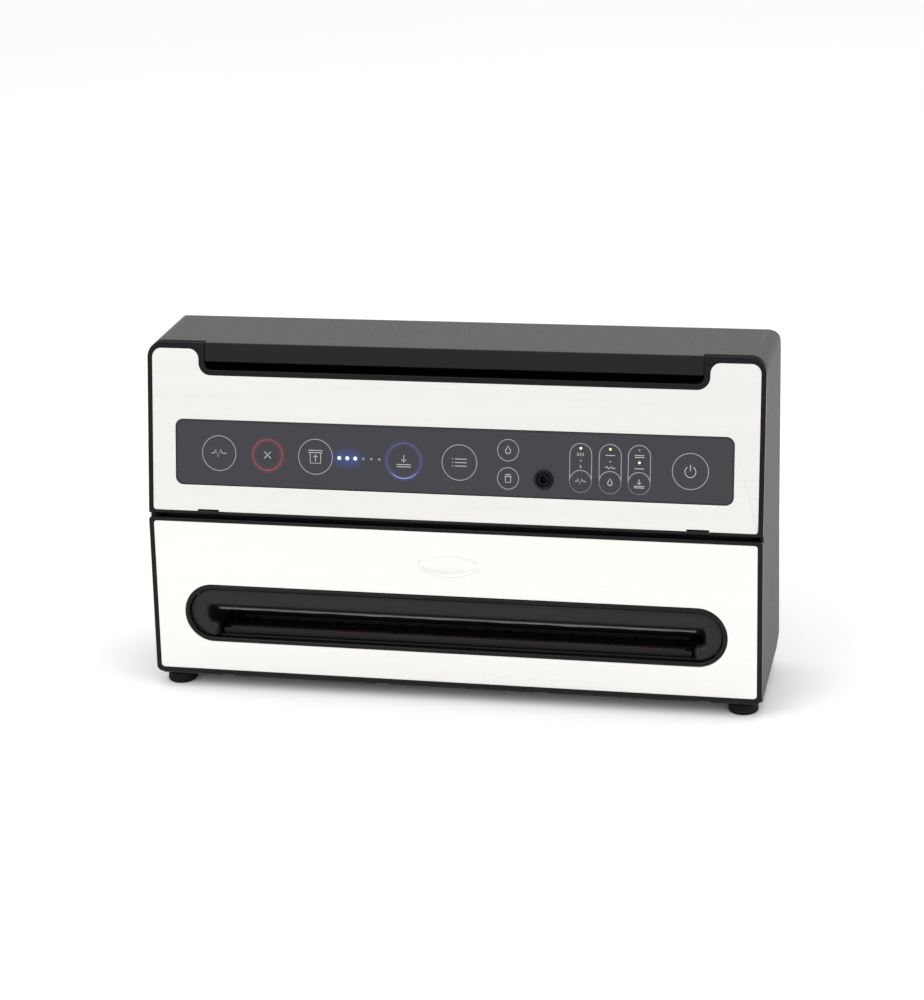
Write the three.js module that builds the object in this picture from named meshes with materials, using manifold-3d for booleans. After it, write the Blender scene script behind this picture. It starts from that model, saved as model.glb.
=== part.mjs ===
// Upright household vacuum sealer: a leaning casing with a drop-down front door, a bag slot with a
// drip tray, a motor-driven sealing jaw, a vacuum pump and a bag-roll compartment with a cutter.
// Millimetres, +Z up, the front faces -Y, origin at the centre of the footprint on the floor.

import * as THREE from 'three';
import { mergeVertices } from 'three/addons/utils/BufferGeometryUtils.js';
import Module from 'manifold-3d';

const wasm = await Module();
wasm.setup();

// ---------------------------------------------------------------- driving dimensions
const HALF_WIDTH = 197;          // outside of the casing
const HEIGHT = 223;              // floor to the flat top
const WALL = 2.6;                // casing wall
const GAP = 0.3;                 // clearance between neighbouring pieces
const BEND = [-43.1, 111.0];     // where the upper and the lower front planes meet (y, z)
const UPPER_LEAN = 13.0;         // degrees that the upper front leans back
const LOWER_LEAN = 5.7;          // degrees that the lower front leans back
const BEZEL_DEPTH = 3.3;         // thickness of the black frames
const SEAM = BEZEL_DEPTH + GAP;  // depth of the casing's front edge behind the front planes

const REAR_BOTTOM = [36.8, 19.3];
const REAR_WAIST = [40.5, 96];
const REAR_TOP = [54.5, HEIGHT];
const REAR_TOP_RADIUS = 16;
const TOP_SIDE_RADIUS = 10;
const UNDERSIDE = [[-49.7, 9.2], [24.3, 14.2]];

// upper front (door), heights along the leaning front plane, measured from the bend
const DOOR_BOTTOM = 4.7;
const DOOR_TOP = 114.9;
const UPPER_STEEL_BOTTOM = 7.0;
const UPPER_STEEL_TOP = 110.9;
const STEEL_HALF_WIDTH = 194;
const RECESS_HALF_WIDTH = 159.0;   // finger recess in the door's top edge
const RECESS_STEEL_HALF_WIDTH = 162.7;
const RECESS_STEEL = 94.2;
const RECESS_BEZEL = 97.7;
const LIP_BOTTOM = 102.9;          // underside of the casing's lip above the recess
const MEMBRANE = { halfWidth: 178.3, bottom: 24.2, top: 65.7, radius: 4.8 };
const PORT = { x: 60.8, z: 35.6, radius: 5.9 };
const HINGE = { y: BEZEL_DEPTH / 2, z: DOOR_BOTTOM + BEZEL_DEPTH / 2, inner: 150, outer: 164, pin: 0.8 };

// lower front, heights along its plane, measured from the bend and negative downwards
const LOWER_TOP = 2.3;
const LOWER_BOTTOM = -101.9;
const LOWER_STEEL_BOTTOM = -98.9;
const SLOT = { z: -60.6, radius: 18.7, halfLength: 175.3 };
const RING_WIDTH = 2.8;
const MOUTH = { halfWidth: 160.5, top: -57.5, ledge: -66.5, lowerHalfWidth: 154, bottom: -76.3 };

// sealing jaw and its drive, in the lower front's frame; the jaw comes down 11.1 mm to seal
const SHAFT = { y: 34, z: -40, radius: 3, halfLength: 178 };
const RACK_MODULE = 1.5;
const PINION_TEETH = 12;
const GEAR_MODULE = 1;
const GEAR_TEETH = 30;
const MOTOR_TEETH = 12;
const GEAR_BACKLASH = 0.15;
const PINION_X = [158.5, 164];
const GEAR_X = [171, 176];
const MOTOR_Z = SHAFT.z + (GEAR_TEETH + MOTOR_TEETH) * GEAR_MODULE / 2 + GEAR_BACKLASH;
const MOTOR = { radius: 11, x: [92, 128, 150] };

// bag-roll compartment (y, z are in the part's frame)
const ROLL = { y: 13.5, z: 160, radius: 27.5, halfWidth: 158, wall: 2, lip: 150, top: 204 };
const CUTTER = { y: -11.5, z: 152.5, halfLength: 152, pin: 1.5 };

const FOOT = { x: 184, radius: 9.5, frontY: -41, rearY: 19 };

// ---------------------------------------------------------------- materials
function finish(color, roughness, metalness) {
  return new THREE.MeshStandardMaterial({ color, roughness, metalness });
}
const CASING = finish(0x464543, 0.6, 0);
const GLOSS_BLACK = finish(0x1d1d20, 0.2, 0);
const STEEL = finish(0xdcdbd8, 0.3, 1);
const GREY_FOIL = finish(0x47474c, 0.35, 0);
const DARK_PLASTIC = finish(0x2a2a2c, 0.5, 0);
const RUBBER = finish(0x161617, 0.85, 0);
const SILICONE = finish(0x2b2123, 0.7, 0);
const TAPE = finish(0x8a7f79, 0.6, 0);
const ZINC = finish(0xa9abad, 0.35, 1);
const NYLON = finish(0xd9d5c8, 0.5, 0);
const BOARD = finish(0x2c5a38, 0.5, 0);
const COPPER = finish(0xa8653a, 0.4, 1);

// ---------------------------------------------------------------- solids
function solidOf(geometry) {
  const bare = geometry.clone();
  bare.deleteAttribute('normal');
  bare.deleteAttribute('uv');
  const merged = mergeVertices(bare, 1e-4);
  return new wasm.Manifold(new wasm.Mesh({
    numProp: 3,
    vertProperties: Float32Array.from(merged.attributes.position.array),
    triVerts: Uint32Array.from(merged.index.array),
  }));
}

function geometryOf(solid) {
  const mesh = solid.getMesh();
  const geometry = new THREE.BufferGeometry();
  geometry.setAttribute('position', new THREE.BufferAttribute(mesh.vertProperties, 3));
  geometry.setIndex(new THREE.BufferAttribute(mesh.triVerts, 1));
  geometry.computeVertexNormals();
  return geometry;
}

// a box given by its two corners
function box(x0, x1, y0, y1, z0, z1) {
  const geometry = new THREE.BoxGeometry(x1 - x0, y1 - y0, z1 - z0);
  geometry.translate((x0 + x1) / 2, (y0 + y1) / 2, (z0 + z1) / 2);
  return solidOf(geometry);
}

// an outline drawn in (y, z), drawn out along x
function alongX(shape, x0, x1, curveSegments = 12) {
  const geometry = new THREE.ExtrudeGeometry(shape, { depth: x1 - x0, bevelEnabled: false, curveSegments });
  const turn = new THREE.Matrix4().makeBasis(
    new THREE.Vector3(0, 1, 0), new THREE.Vector3(0, 0, 1), new THREE.Vector3(1, 0, 0));
  geometry.applyMatrix4(turn);
  geometry.translate(x0, 0, 0);
  return solidOf(geometry);
}

// an outline drawn in (x, z), drawn out along y
function alongY(shape, y0, y1, curveSegments = 12) {
  const geometry = new THREE.ExtrudeGeometry(shape, { depth: y1 - y0, bevelEnabled: false, curveSegments });
  geometry.rotateX(Math.PI / 2);
  geometry.translate(0, y1, 0);
  return solidOf(geometry);
}

function polygon(points) {
  return new THREE.Shape(points.map(([a, b]) => new THREE.Vector2(a, b)));
}

// rounded rectangle; radii are bottom left, bottom right, top right, top left
function roundedRectangle(x0, x1, z0, z1, radii) {
  const [bl, br, tr, tl] = Array.isArray(radii) ? radii : [radii, radii, radii, radii];
  const shape = new THREE.Shape();
  shape.moveTo(x0 + bl, z0);
  shape.lineTo(x1 - br, z0);
  shape.absarc(x1 - br, z0 + br, br, -Math.PI / 2, 0);
  shape.lineTo(x1, z1 - tr);
  shape.absarc(x1 - tr, z1 - tr, tr, 0, Math.PI / 2);
  shape.lineTo(x0 + tl, z1);
  shape.absarc(x0 + tl, z1 - tl, tl, Math.PI / 2, Math.PI);
  shape.lineTo(x0, z0 + bl);
  shape.absarc(x0 + bl, z0 + bl, bl, Math.PI, Math.PI * 1.5);
  return shape;
}

function stadium(radius, grow = 0) {
  const half = SLOT.halfLength - SLOT.radius + radius + grow;
  const r = radius + grow;
  return roundedRectangle(-half, half, SLOT.z - r, SLOT.z + r, r);
}

function cylinderAlongX(y, z, radius, x0, x1, segments = 32) {
  const geometry = new THREE.CylinderGeometry(radius, radius, x1 - x0, segments);
  geometry.rotateZ(Math.PI / 2);
  geometry.translate((x0 + x1) / 2, y, z);
  return solidOf(geometry);
}

function cylinderAlongY(x, z, radius, y0, y1, segments = 32) {
  const geometry = new THREE.CylinderGeometry(radius, radius, y1 - y0, segments);
  geometry.translate(x, (y0 + y1) / 2, z);
  return solidOf(geometry);
}

// a turned piece standing on z = 0; profile is [radius, height] from the axis out and back to it
function turned(profile, x, y, segments = 32) {
  const points = profile.map(([r, h]) => new THREE.Vector2(r, h));
  const geometry = new THREE.LatheGeometry(points, segments);
  geometry.rotateX(Math.PI / 2);
  geometry.translate(x, y, 0);
  return solidOf(geometry);
}

// ---------------------------------------------------------------- frames
const upper = new THREE.Group();
upper.position.set(0, BEND[0], BEND[1]);
upper.rotation.x = -THREE.MathUtils.degToRad(UPPER_LEAN);

const lower = new THREE.Group();
lower.position.copy(upper.position);
lower.rotation.x = -THREE.MathUtils.degToRad(LOWER_LEAN);

const sealer = new THREE.Group();
sealer.add(upper, lower);

function add(group, name, solid, material) {
  const mesh = new THREE.Mesh(geometryOf(solid), material);
  mesh.name = name;
  group.add(mesh);
}

// a point of a leaning frame (depth behind the front plane, height along it) as (y, z) of the part
function leaning(degrees, depth, along) {
  const a = THREE.MathUtils.degToRad(degrees);
  return [
    BEND[0] + depth * Math.cos(a) + along * Math.sin(a),
    BEND[1] - depth * Math.sin(a) + along * Math.cos(a),
  ];
}

// where a line through p and q reaches the height z
function atHeight(p, q, z) {
  return [p[0] + (q[0] - p[0]) * (z - p[1]) / (q[1] - p[1]), z];
}

// ---------------------------------------------------------------- casing
function casingProfile() {
  const seamBelow = leaning(LOWER_LEAN, SEAM, -100);
  const bottomFront = atHeight(leaning(LOWER_LEAN, SEAM, 0), seamBelow, UNDERSIDE[0][1]);
  const halfBend = THREE.MathUtils.degToRad((UPPER_LEAN - LOWER_LEAN) / 2);
  const bend = leaning(UPPER_LEAN, SEAM, -SEAM * Math.tan(halfBend));
  const topFront = atHeight(leaning(UPPER_LEAN, SEAM, 0), leaning(UPPER_LEAN, SEAM, 100), HEIGHT);
  const rearLean = Math.atan2(REAR_TOP[0] - REAR_WAIST[0], REAR_TOP[1] - REAR_WAIST[1]);
  const inset = REAR_TOP_RADIUS * Math.tan((Math.PI / 2 + rearLean) / 2);
  const arcCentre = [REAR_TOP[0] - inset, HEIGHT - REAR_TOP_RADIUS];
  const shape = new THREE.Shape();
  shape.moveTo(...bottomFront);
  shape.lineTo(...UNDERSIDE[1]);
  shape.lineTo(...REAR_BOTTOM);
  shape.lineTo(...REAR_WAIST);
  shape.absarc(arcCentre[0], arcCentre[1], REAR_TOP_RADIUS, -rearLean, Math.PI / 2);
  shape.lineTo(...topFront);
  shape.lineTo(...bend);
  return shape;
}

function casingHollow() {
  const r = REAR_TOP_RADIUS - WALL;
  const top = HEIGHT - WALL;
  const arcY = 37.6;              // centre of the rear top radius
  const arcEnd = 206.5;           // below this the hollow runs out through the open back
  const beyond = 80;
  const shape = new THREE.Shape();
  shape.moveTo(-beyond, -10);
  shape.lineTo(beyond, -10);
  shape.lineTo(beyond, arcEnd);
  shape.lineTo(arcY + r, arcEnd);
  shape.absarc(arcY, top - r, r, 0, Math.PI / 2);
  shape.lineTo(-beyond, top);
  return shape;
}

function outerShell() {
  const sideView = alongX(casingProfile(), -HALF_WIDTH, HALF_WIDTH, 8);
  const frontOutline = roundedRectangle(-HALF_WIDTH, HALF_WIDTH, -5, HEIGHT,
    [0.5, 0.5, TOP_SIDE_RADIUS, TOP_SIDE_RADIUS]);
  const inner = HALF_WIDTH - WALL;
  const innerOutline = roundedRectangle(-inner, inner, -20, HEIGHT - WALL,
    [0.5, 0.5, TOP_SIDE_RADIUS - WALL, TOP_SIDE_RADIUS - WALL]);
  const block = sideView.intersect(alongY(frontOutline, -90, 90, 6));
  const hollow = alongX(casingHollow(), -HALF_WIDTH - 5, HALF_WIDTH + 5, 8)
    .intersect(alongY(innerOutline, -120, 120, 6));
  const lipBack = 7;
  const lip = alongX(polygon([
    leaning(UPPER_LEAN, 0, LIP_BOTTOM),
    leaning(UPPER_LEAN, lipBack, LIP_BOTTOM),
    atHeight(leaning(UPPER_LEAN, lipBack, 0), leaning(UPPER_LEAN, lipBack, 100), HEIGHT),
    atHeight(leaning(UPPER_LEAN, 0, 0), leaning(UPPER_LEAN, 0, 100), HEIGHT),
  ]), -RECESS_HALF_WIDTH + GAP, RECESS_HALF_WIDTH - GAP);
  return block.subtract(hollow).add(lip);
}

const VENT = { count: 9, pitch: 9, halfWidth: 1.6, bottom: 100, top: 122, groupX: [-110, 60] };
const INLET = { x: 150, z: 40, halfWidth: 14, halfHeight: 9, depth: 22 };
const REAR_SCREWS = [[-182, 30], [182, 30], [-182, 196], [182, 196]];

// depth of the rear cover's outer face at a height
function rearFace(z) {
  const [p, q] = z < REAR_WAIST[1] ? [REAR_BOTTOM, REAR_WAIST] : [REAR_WAIST, REAR_TOP];
  return atHeight(p, q, z)[0] - 0.6;
}

function rearCover() {
  const thick = 2.4;
  const bottom = 20;
  const top = 205.8;
  const half = HALF_WIDTH - WALL - GAP;
  let plate = alongX(polygon([
    [rearFace(bottom) - thick, bottom], [rearFace(bottom), bottom],
    [rearFace(96), 96], [rearFace(top), top],
    [rearFace(top) - thick, top], [rearFace(96) - thick, 96],
  ]), -half, half);
  for (const start of VENT.groupX) {
    for (let i = 0; i < VENT.count; i += 1) {
      const x = start + i * VENT.pitch;
      plate = plate.subtract(box(x - VENT.halfWidth, x + VENT.halfWidth, 20, 60, VENT.bottom, VENT.top));
    }
  }
  plate = plate.subtract(box(
    INLET.x - INLET.halfWidth - GAP, INLET.x + INLET.halfWidth + GAP, 20, 60,
    INLET.z - INLET.halfHeight - GAP, INLET.z + INLET.halfHeight + GAP));
  for (const [x, z] of REAR_SCREWS) {
    plate = plate.subtract(cylinderAlongY(x, z, 2.1, 20, 60, 16));
  }
  return plate;
}

function mainsInlet() {
  const face = rearFace(INLET.z) + 0.4;
  const shell = box(INLET.x - INLET.halfWidth, INLET.x + INLET.halfWidth, face - INLET.depth, face,
    INLET.z - INLET.halfHeight, INLET.z + INLET.halfHeight);
  const socket = alongY(roundedRectangle(INLET.x - 9, INLET.x + 9, INLET.z - 4.5, INLET.z + 4.5, 4.4),
    face - 15, face + 1, 6);
  let inlet = shell.subtract(socket);
  for (const side of [-1, 1]) {
    inlet = inlet.add(cylinderAlongY(INLET.x + side * 4.3, INLET.z, 1.2, face - 16, face - 4, 12));
  }
  return inlet;
}

function screw(x, y, z) {
  const head = cylinderAlongY(x, z, 3.4, y + GAP, y + 2, 16);
  const shank = cylinderAlongY(x, z, 1.6, y - 8, y + 1, 12);
  return head.add(shank);
}

const STRIP_NOTCHES = { first: -149.5, pitch: 103.2, count: 4, halfWidth: 4, height: 1.6 };

function basePlate() {
  const half = HALF_WIDTH - WALL - GAP;
  const front = leaning(LOWER_LEAN, 4, -104);
  let plate = alongX(polygon([
    front, [23, 11.6], [35.4, 17.2], [35.4, 19.6], [22.4, 14.4], leaning(LOWER_LEAN, 6.5, -101),
    leaning(LOWER_LEAN, 6.5, -95), leaning(LOWER_LEAN, 4, -95),
  ]), -half, half);
  for (let i = 0; i < STRIP_NOTCHES.count; i += 1) {
    const x = STRIP_NOTCHES.first + i * STRIP_NOTCHES.pitch;
    plate = plate.subtract(box(x - STRIP_NOTCHES.halfWidth, x + STRIP_NOTCHES.halfWidth,
      front[0] - 2, front[0] + 6, 4, 7.2 + STRIP_NOTCHES.height));
  }
  return plate;
}

// underside of the base plate at a depth
function baseUnder(y) {
  return 7.0 + (y + 49) * (11.6 - 7.0) / (23 + 49);
}

function foot(x, y) {
  const top = baseUnder(y - FOOT.radius) - GAP;
  const r = FOOT.radius;
  return turned([[0, 0], [r - 1, 0], [r, 1], [r - 0.8, top], [0, top]], x, y);
}

function shellPieces() {
  add(sealer, 'outer_shell', outerShell(), CASING);
  add(sealer, 'rear_cover', rearCover(), CASING);
  add(sealer, 'base_plate', basePlate(), DARK_PLASTIC);
  add(sealer, 'mains_inlet', mainsInlet(), DARK_PLASTIC);
  add(sealer, 'foot_front_left', foot(-FOOT.x, FOOT.frontY), RUBBER);
  add(sealer, 'foot_front_right', foot(FOOT.x, FOOT.frontY), RUBBER);
  add(sealer, 'foot_rear_left', foot(-FOOT.x, FOOT.rearY), RUBBER);
  add(sealer, 'foot_rear_right', foot(FOOT.x, FOOT.rearY), RUBBER);
  REAR_SCREWS.forEach(([x, z], i) => {
    add(sealer, `rear_screw_${i + 1}`, screw(x, rearFace(z) + 0.3, z), ZINC);
  });
}

// ---------------------------------------------------------------- lower front
const STEEL_FRONT = 0.3;
const STEEL_BACK = 1.1;
const POCKET = 1.4;

function lowerBezel() {
  const frame = alongY(roundedRectangle(-HALF_WIDTH, HALF_WIDTH, LOWER_BOTTOM, LOWER_TOP, [4, 4, 2, 2]),
    0, BEZEL_DEPTH, 6);
  const pocket = alongY(roundedRectangle(-STEEL_HALF_WIDTH, STEEL_HALF_WIDTH, LOWER_STEEL_BOTTOM, 0,
    [2.5, 2.5, 2, 2]), -1, POCKET, 6);
  return frame.subtract(pocket).subtract(alongY(stadium(SLOT.radius, GAP), -1, 5));
}

function lowerPanel() {
  const edge = GAP / 2;
  const sheet = alongY(roundedRectangle(-STEEL_HALF_WIDTH + edge, STEEL_HALF_WIDTH - edge,
    LOWER_STEEL_BOTTOM + edge, -edge, [2.4, 2.4, 1.9, 1.9]), STEEL_FRONT, STEEL_BACK, 6);
  return sheet.subtract(alongY(stadium(SLOT.radius, GAP), -1, 5));
}

function slotRing() {
  const ring = alongY(stadium(SLOT.radius), -0.6, 3);
  return ring.subtract(alongY(stadium(SLOT.radius - RING_WIDTH), -2, 5));
}

function slotSurround() {
  const face = alongY(stadium(SLOT.radius - RING_WIDTH - GAP), 1.6, SEAM + 0.2);
  const flange = alongY(roundedRectangle(-184, 184, -84, -37, 6), SEAM, 6, 6);
  const wide = box(-MOUTH.halfWidth, MOUTH.halfWidth, -1, 8, MOUTH.ledge, MOUTH.top);
  const narrow = box(-MOUTH.lowerHalfWidth, MOUTH.lowerHalfWidth, -1, 8, MOUTH.bottom, MOUTH.ledge + 1);
  return face.add(flange).subtract(wide).subtract(narrow);
}

function lowerFront() {
  add(lower, 'lower_bezel', lowerBezel(), GLOSS_BLACK);
  add(lower, 'lower_panel', lowerPanel(), STEEL);
  add(lower, 'slot_ring', slotRing(), GLOSS_BLACK);
  add(lower, 'slot_surround', slotSurround(), DARK_PLASTIC);
}

// ---------------------------------------------------------------- drip tray and bed
const TRAY = { halfWidth: 152.5, front: 7.5, back: 41, top: -72.3, bottom: -76.0 };
const BACKING = { front: 8.4, back: 12.4, top: -71.6, bed: -73.1 };

function dripTray() {
  const { halfWidth, front, back, top, bottom } = TRAY;
  const body = box(-halfWidth, halfWidth, front, back, bottom, top);
  const well = box(-halfWidth + 6, halfWidth - 6, 16, back - 4, bottom + 1, 0);
  const groove = box(-halfWidth + 4, halfWidth - 4, BACKING.front - GAP, BACKING.back + GAP,
    BACKING.bed - GAP, 0);
  return body.subtract(well).subtract(groove);
}

function sealBacking() {
  const half = TRAY.halfWidth - 4.4;
  return box(-half, half, BACKING.front, BACKING.back, BACKING.bed, BACKING.top);
}

function chamberBed() {
  const top = TRAY.bottom - GAP;
  const bed = box(-160, 160, 6.4, 45, top - 8, top);
  const rearWall = box(-157, 157, TRAY.back + GAP, 45, top - 1, -45);
  return bed.add(rearWall);
}

// ---------------------------------------------------------------- sealing jaw and its drive
const JAW = { halfWidth: 156, front: 7, bottom: -58.5, top: -46 };

// straight-flanked gear about x; a tooth points along +y when phase is 0
function gearShape(teeth, module, phase) {
  const pitch = teeth * module / 2;
  const step = (Math.PI * 2) / teeth;
  const [root, tip] = [pitch - module * 1.15, pitch + module * 0.85];
  const [rootHalf, tipHalf] = [0.33, 0.13];   // half widths of a tooth, in tooth steps
  const points = [];
  for (let i = 0; i < teeth; i += 1) {
    const centre = phase + i * step;
    for (const [r, offset] of [[root, -rootHalf], [tip, -tipHalf], [tip, tipHalf], [root, rootHalf]]) {
      const angle = centre + offset * step;
      points.push([r * Math.cos(angle), r * Math.sin(angle)]);
    }
  }
  return polygon(points);
}

function gear(teeth, module, phase, y, z, x0, x1, bore) {
  const blank = alongX(gearShape(teeth, module, phase), x0, x1);
  return blank.subtract(cylinderAlongX(0, 0, bore, x0 - 1, x1 + 1, 24)).translate([0, y, z]);
}

// toothed bar on each end of the jaw; its teeth point backwards, at the pinion
function rack(x0, x1) {
  const pitchLine = SHAFT.y - PINION_TEETH * RACK_MODULE / 2;
  const root = pitchLine - RACK_MODULE * 1.2;
  const tip = pitchLine + RACK_MODULE * 0.85;
  const step = Math.PI * RACK_MODULE;
  const low = -52;
  const high = -21.5;
  const points = [[root - 3, low], [root, low]];
  for (let i = -2; i <= 3; i += 1) {
    const z = SHAFT.z + i * step;
    for (const [depth, offset] of [[root, -0.27], [tip, -0.1], [tip, 0.1], [root, 0.27]]) {
      points.push([depth, z + step * offset]);
    }
  }
  points.push([root, high], [root - 3, high]);
  return alongX(polygon(points), x0, x1);
}

function upperJaw() {
  const bar = box(-JAW.halfWidth, JAW.halfWidth, JAW.front, 14, JAW.bottom, JAW.top);
  const lid = box(-JAW.halfWidth, JAW.halfWidth, 13, 40, -50, JAW.top);
  const seat = box(-JAW.halfWidth + 3, JAW.halfWidth - 3, 8.2, 12.8, -70, JAW.bottom + 0.8);
  let jaw = bar.add(lid).subtract(seat);
  for (const side of [-1, 1]) {
    const [x0, x1] = side < 0 ? [-164, -155] : [155, 164];
    jaw = jaw.add(box(x0, x1, 14, 21, -52, JAW.top)).add(rack(side < 0 ? x0 : 157.5, side < 0 ? -157.5 : x1));
  }
  return jaw;
}

function heatingStrip() {
  return box(-JAW.halfWidth + 4, JAW.halfWidth - 4, 8.5, 12.5, -60.2, JAW.bottom + 0.5);
}

function upperGasket() {
  const [y0, y1, top, bottom] = [17, 39.5, -50.3, -60];
  const ring = box(-155, 155, y0, y1, bottom, top);
  return ring.subtract(box(-148, 148, y0 + 4, y1 - 4, bottom - 1, top + 1));
}

function jawGuide(side) {
  const [x0, x1] = side < 0 ? [-169.5, -166.5] : [166.5, 169.5];
  let plate = box(x0, x1, 6.4, 60, -87, -6);
  plate = plate.subtract(cylinderAlongX(SHAFT.y, SHAFT.z, SHAFT.radius + 0.2, x0 - 1, x1 + 1, 32));
  return plate.subtract(cylinderAlongX(SHAFT.y, MOTOR_Z, 3, x0 - 1, x1 + 1, 24));
}

function jawDrive() {
  add(lower, 'drip_tray', dripTray(), DARK_PLASTIC);
  add(lower, 'seal_backing', sealBacking(), SILICONE);
  add(lower, 'chamber_bed', chamberBed(), DARK_PLASTIC);
  add(lower, 'upper_jaw', upperJaw(), DARK_PLASTIC);
  add(lower, 'heating_strip', heatingStrip(), TAPE);
  add(lower, 'upper_gasket', upperGasket(), SILICONE);
  add(lower, 'jaw_guide_left', jawGuide(-1), ZINC);
  add(lower, 'jaw_guide_right', jawGuide(1), ZINC);

  const shaft = cylinderAlongX(SHAFT.y, SHAFT.z, SHAFT.radius, -SHAFT.halfLength, SHAFT.halfLength, 24);
  add(lower, 'jaw_shaft', shaft, ZINC);
  const bore = SHAFT.radius + 0.1;
  const { y, z } = SHAFT;
  const onShaft = (teeth, module, phase, x0, x1) => gear(teeth, module, phase, y, z, x0, x1, bore);
  const half = Math.PI / PINION_TEETH;
  add(lower, 'pinion_left', onShaft(PINION_TEETH, RACK_MODULE, half, -PINION_X[1], -PINION_X[0]), NYLON);
  add(lower, 'pinion_right', onShaft(PINION_TEETH, RACK_MODULE, half, ...PINION_X), NYLON);
  add(lower, 'shaft_gear', onShaft(GEAR_TEETH, GEAR_MODULE, Math.PI / 2, ...GEAR_X), NYLON);

  const motorPhase = Math.PI / 2 + Math.PI / MOTOR_TEETH;
  const motorGear = gear(MOTOR_TEETH, GEAR_MODULE, motorPhase, SHAFT.y, MOTOR_Z, ...GEAR_X, 0.8)
    .add(cylinderAlongX(SHAFT.y, MOTOR_Z, 1.5, MOTOR.x[2] + 0.5, GEAR_X[1] + 1, 16));
  add(lower, 'motor_pinion', motorGear, ZINC);
  const [canStart, headStart, headEnd] = MOTOR.x;
  const can = cylinderAlongX(SHAFT.y, MOTOR_Z, MOTOR.radius, canStart, headStart, 32);
  const gearHead = box(headStart, headEnd, SHAFT.y - MOTOR.radius, SHAFT.y + MOTOR.radius,
    MOTOR_Z - MOTOR.radius, MOTOR_Z + MOTOR.radius);
  add(lower, 'jaw_motor', can.add(gearHead), ZINC);
}

// ---------------------------------------------------------------- pump, supply and board
function pumpHose() {
  const path = new THREE.CatmullRomCurve3([
    new THREE.Vector3(24, -2.4, 27),
    new THREE.Vector3(24, 3, 27),
    new THREE.Vector3(20, 9, 29),
    new THREE.Vector3(8, 13, 32),
    new THREE.Vector3(-8, 14, 34),
    new THREE.Vector3(-17.6, 14, 34),
  ]);
  const section = new THREE.Shape();
  section.absarc(0, 0, 3, 0, Math.PI * 2);
  const geometry = new THREE.ExtrudeGeometry(section, { steps: 20, extrudePath: path, curveSegments: 5 });
  return solidOf(geometry);
}

function innerWorks() {
  const axis = { y: 14, z: 40 };
  add(sealer, 'pump_motor', cylinderAlongX(axis.y, axis.z, 16, -135, -72, 32)
    .add(cylinderAlongX(axis.y, axis.z, 5, -73, -70.5, 20)), ZINC);
  add(sealer, 'pump_crank', cylinderAlongX(axis.y, axis.z, 10, -70, -64, 28)
    .add(cylinderAlongX(axis.y + 5, axis.z, 2, -65, -61, 16)), ZINC);
  const head = box(-60, -18, 0, 29, 22, 62);
  const nozzle = cylinderAlongX(axis.y, 34, 2.5, -19, -17.9, 16);
  add(sealer, 'pump_head', head.add(nozzle), DARK_PLASTIC);
  add(sealer, 'pump_hose', pumpHose(), SILICONE);
  const core = box(50, 104, 2, 29, 22, 60);
  const winding = box(60, 94, -1, 31, 26, 56);
  add(sealer, 'transformer', core.add(winding), COPPER);
  const board = box(-95, 95, 29.5, 31.1, 66, 92);
  const parts = box(-60, -35, 18, 30, 70, 88).add(box(10, 40, 22, 30, 70, 84));
  add(sealer, 'main_board', board.add(parts), BOARD);
}

// ---------------------------------------------------------------- roll compartment and cutter
// trough for the bag roll, open at the front and top, with a wall at each end
function rollCompartment() {
  const { y, z, radius, halfWidth, wall, lip, top } = ROLL;
  const outerRadius = radius + wall;
  const lipAngle = -Math.PI - Math.asin((lip - z) / radius);
  const profile = new THREE.Shape();
  profile.moveTo(y + outerRadius, top);
  profile.lineTo(y + outerRadius, z);
  profile.absarc(y, z, outerRadius, 0, lipAngle, true);
  profile.absarc(y, z, radius, lipAngle, 0, false);
  profile.lineTo(y + radius, top);
  const endWall = new THREE.Shape();
  endWall.moveTo(y + outerRadius, top);
  endWall.lineTo(-6, top);
  endWall.lineTo(y - outerRadius, z);
  endWall.absarc(y, z, outerRadius, Math.PI, Math.PI * 2, false);
  let trough = alongX(profile, -halfWidth - wall, halfWidth + wall, 12);
  for (const x of [-halfWidth - wall, halfWidth]) {
    trough = trough.add(alongX(endWall, x, x + wall, 12));
  }
  return trough.subtract(cylinderAlongX(CUTTER.y, CUTTER.z, CUTTER.pin + 0.2, -200, 200, 20));
}

function cutterBar() {
  const { y, z, halfLength, pin } = CUTTER;
  const bar = box(-halfLength, halfLength, y - 8, y + 1, z - 1.5, z + 3.5);
  const track = box(-halfLength + 3, halfLength - 3, y - 5, y - 3, z + 1, z + 5);
  const reach = ROLL.halfWidth + ROLL.wall + 1.5;
  return bar.subtract(track).add(cylinderAlongX(y, z, pin, -reach, reach, 16));
}

function cutterKnob() {
  const { y, z, halfLength } = CUTTER;
  const x0 = -halfLength + 3.5;
  const grip = box(x0, x0 + 14, y - 6.5, y, z + 3.5 + GAP, z + 8);
  const blade = box(x0 + 2, x0 + 12, y - 4.7, y - 3.3, z + 1.4, z + 4);
  return grip.add(blade);
}

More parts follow.
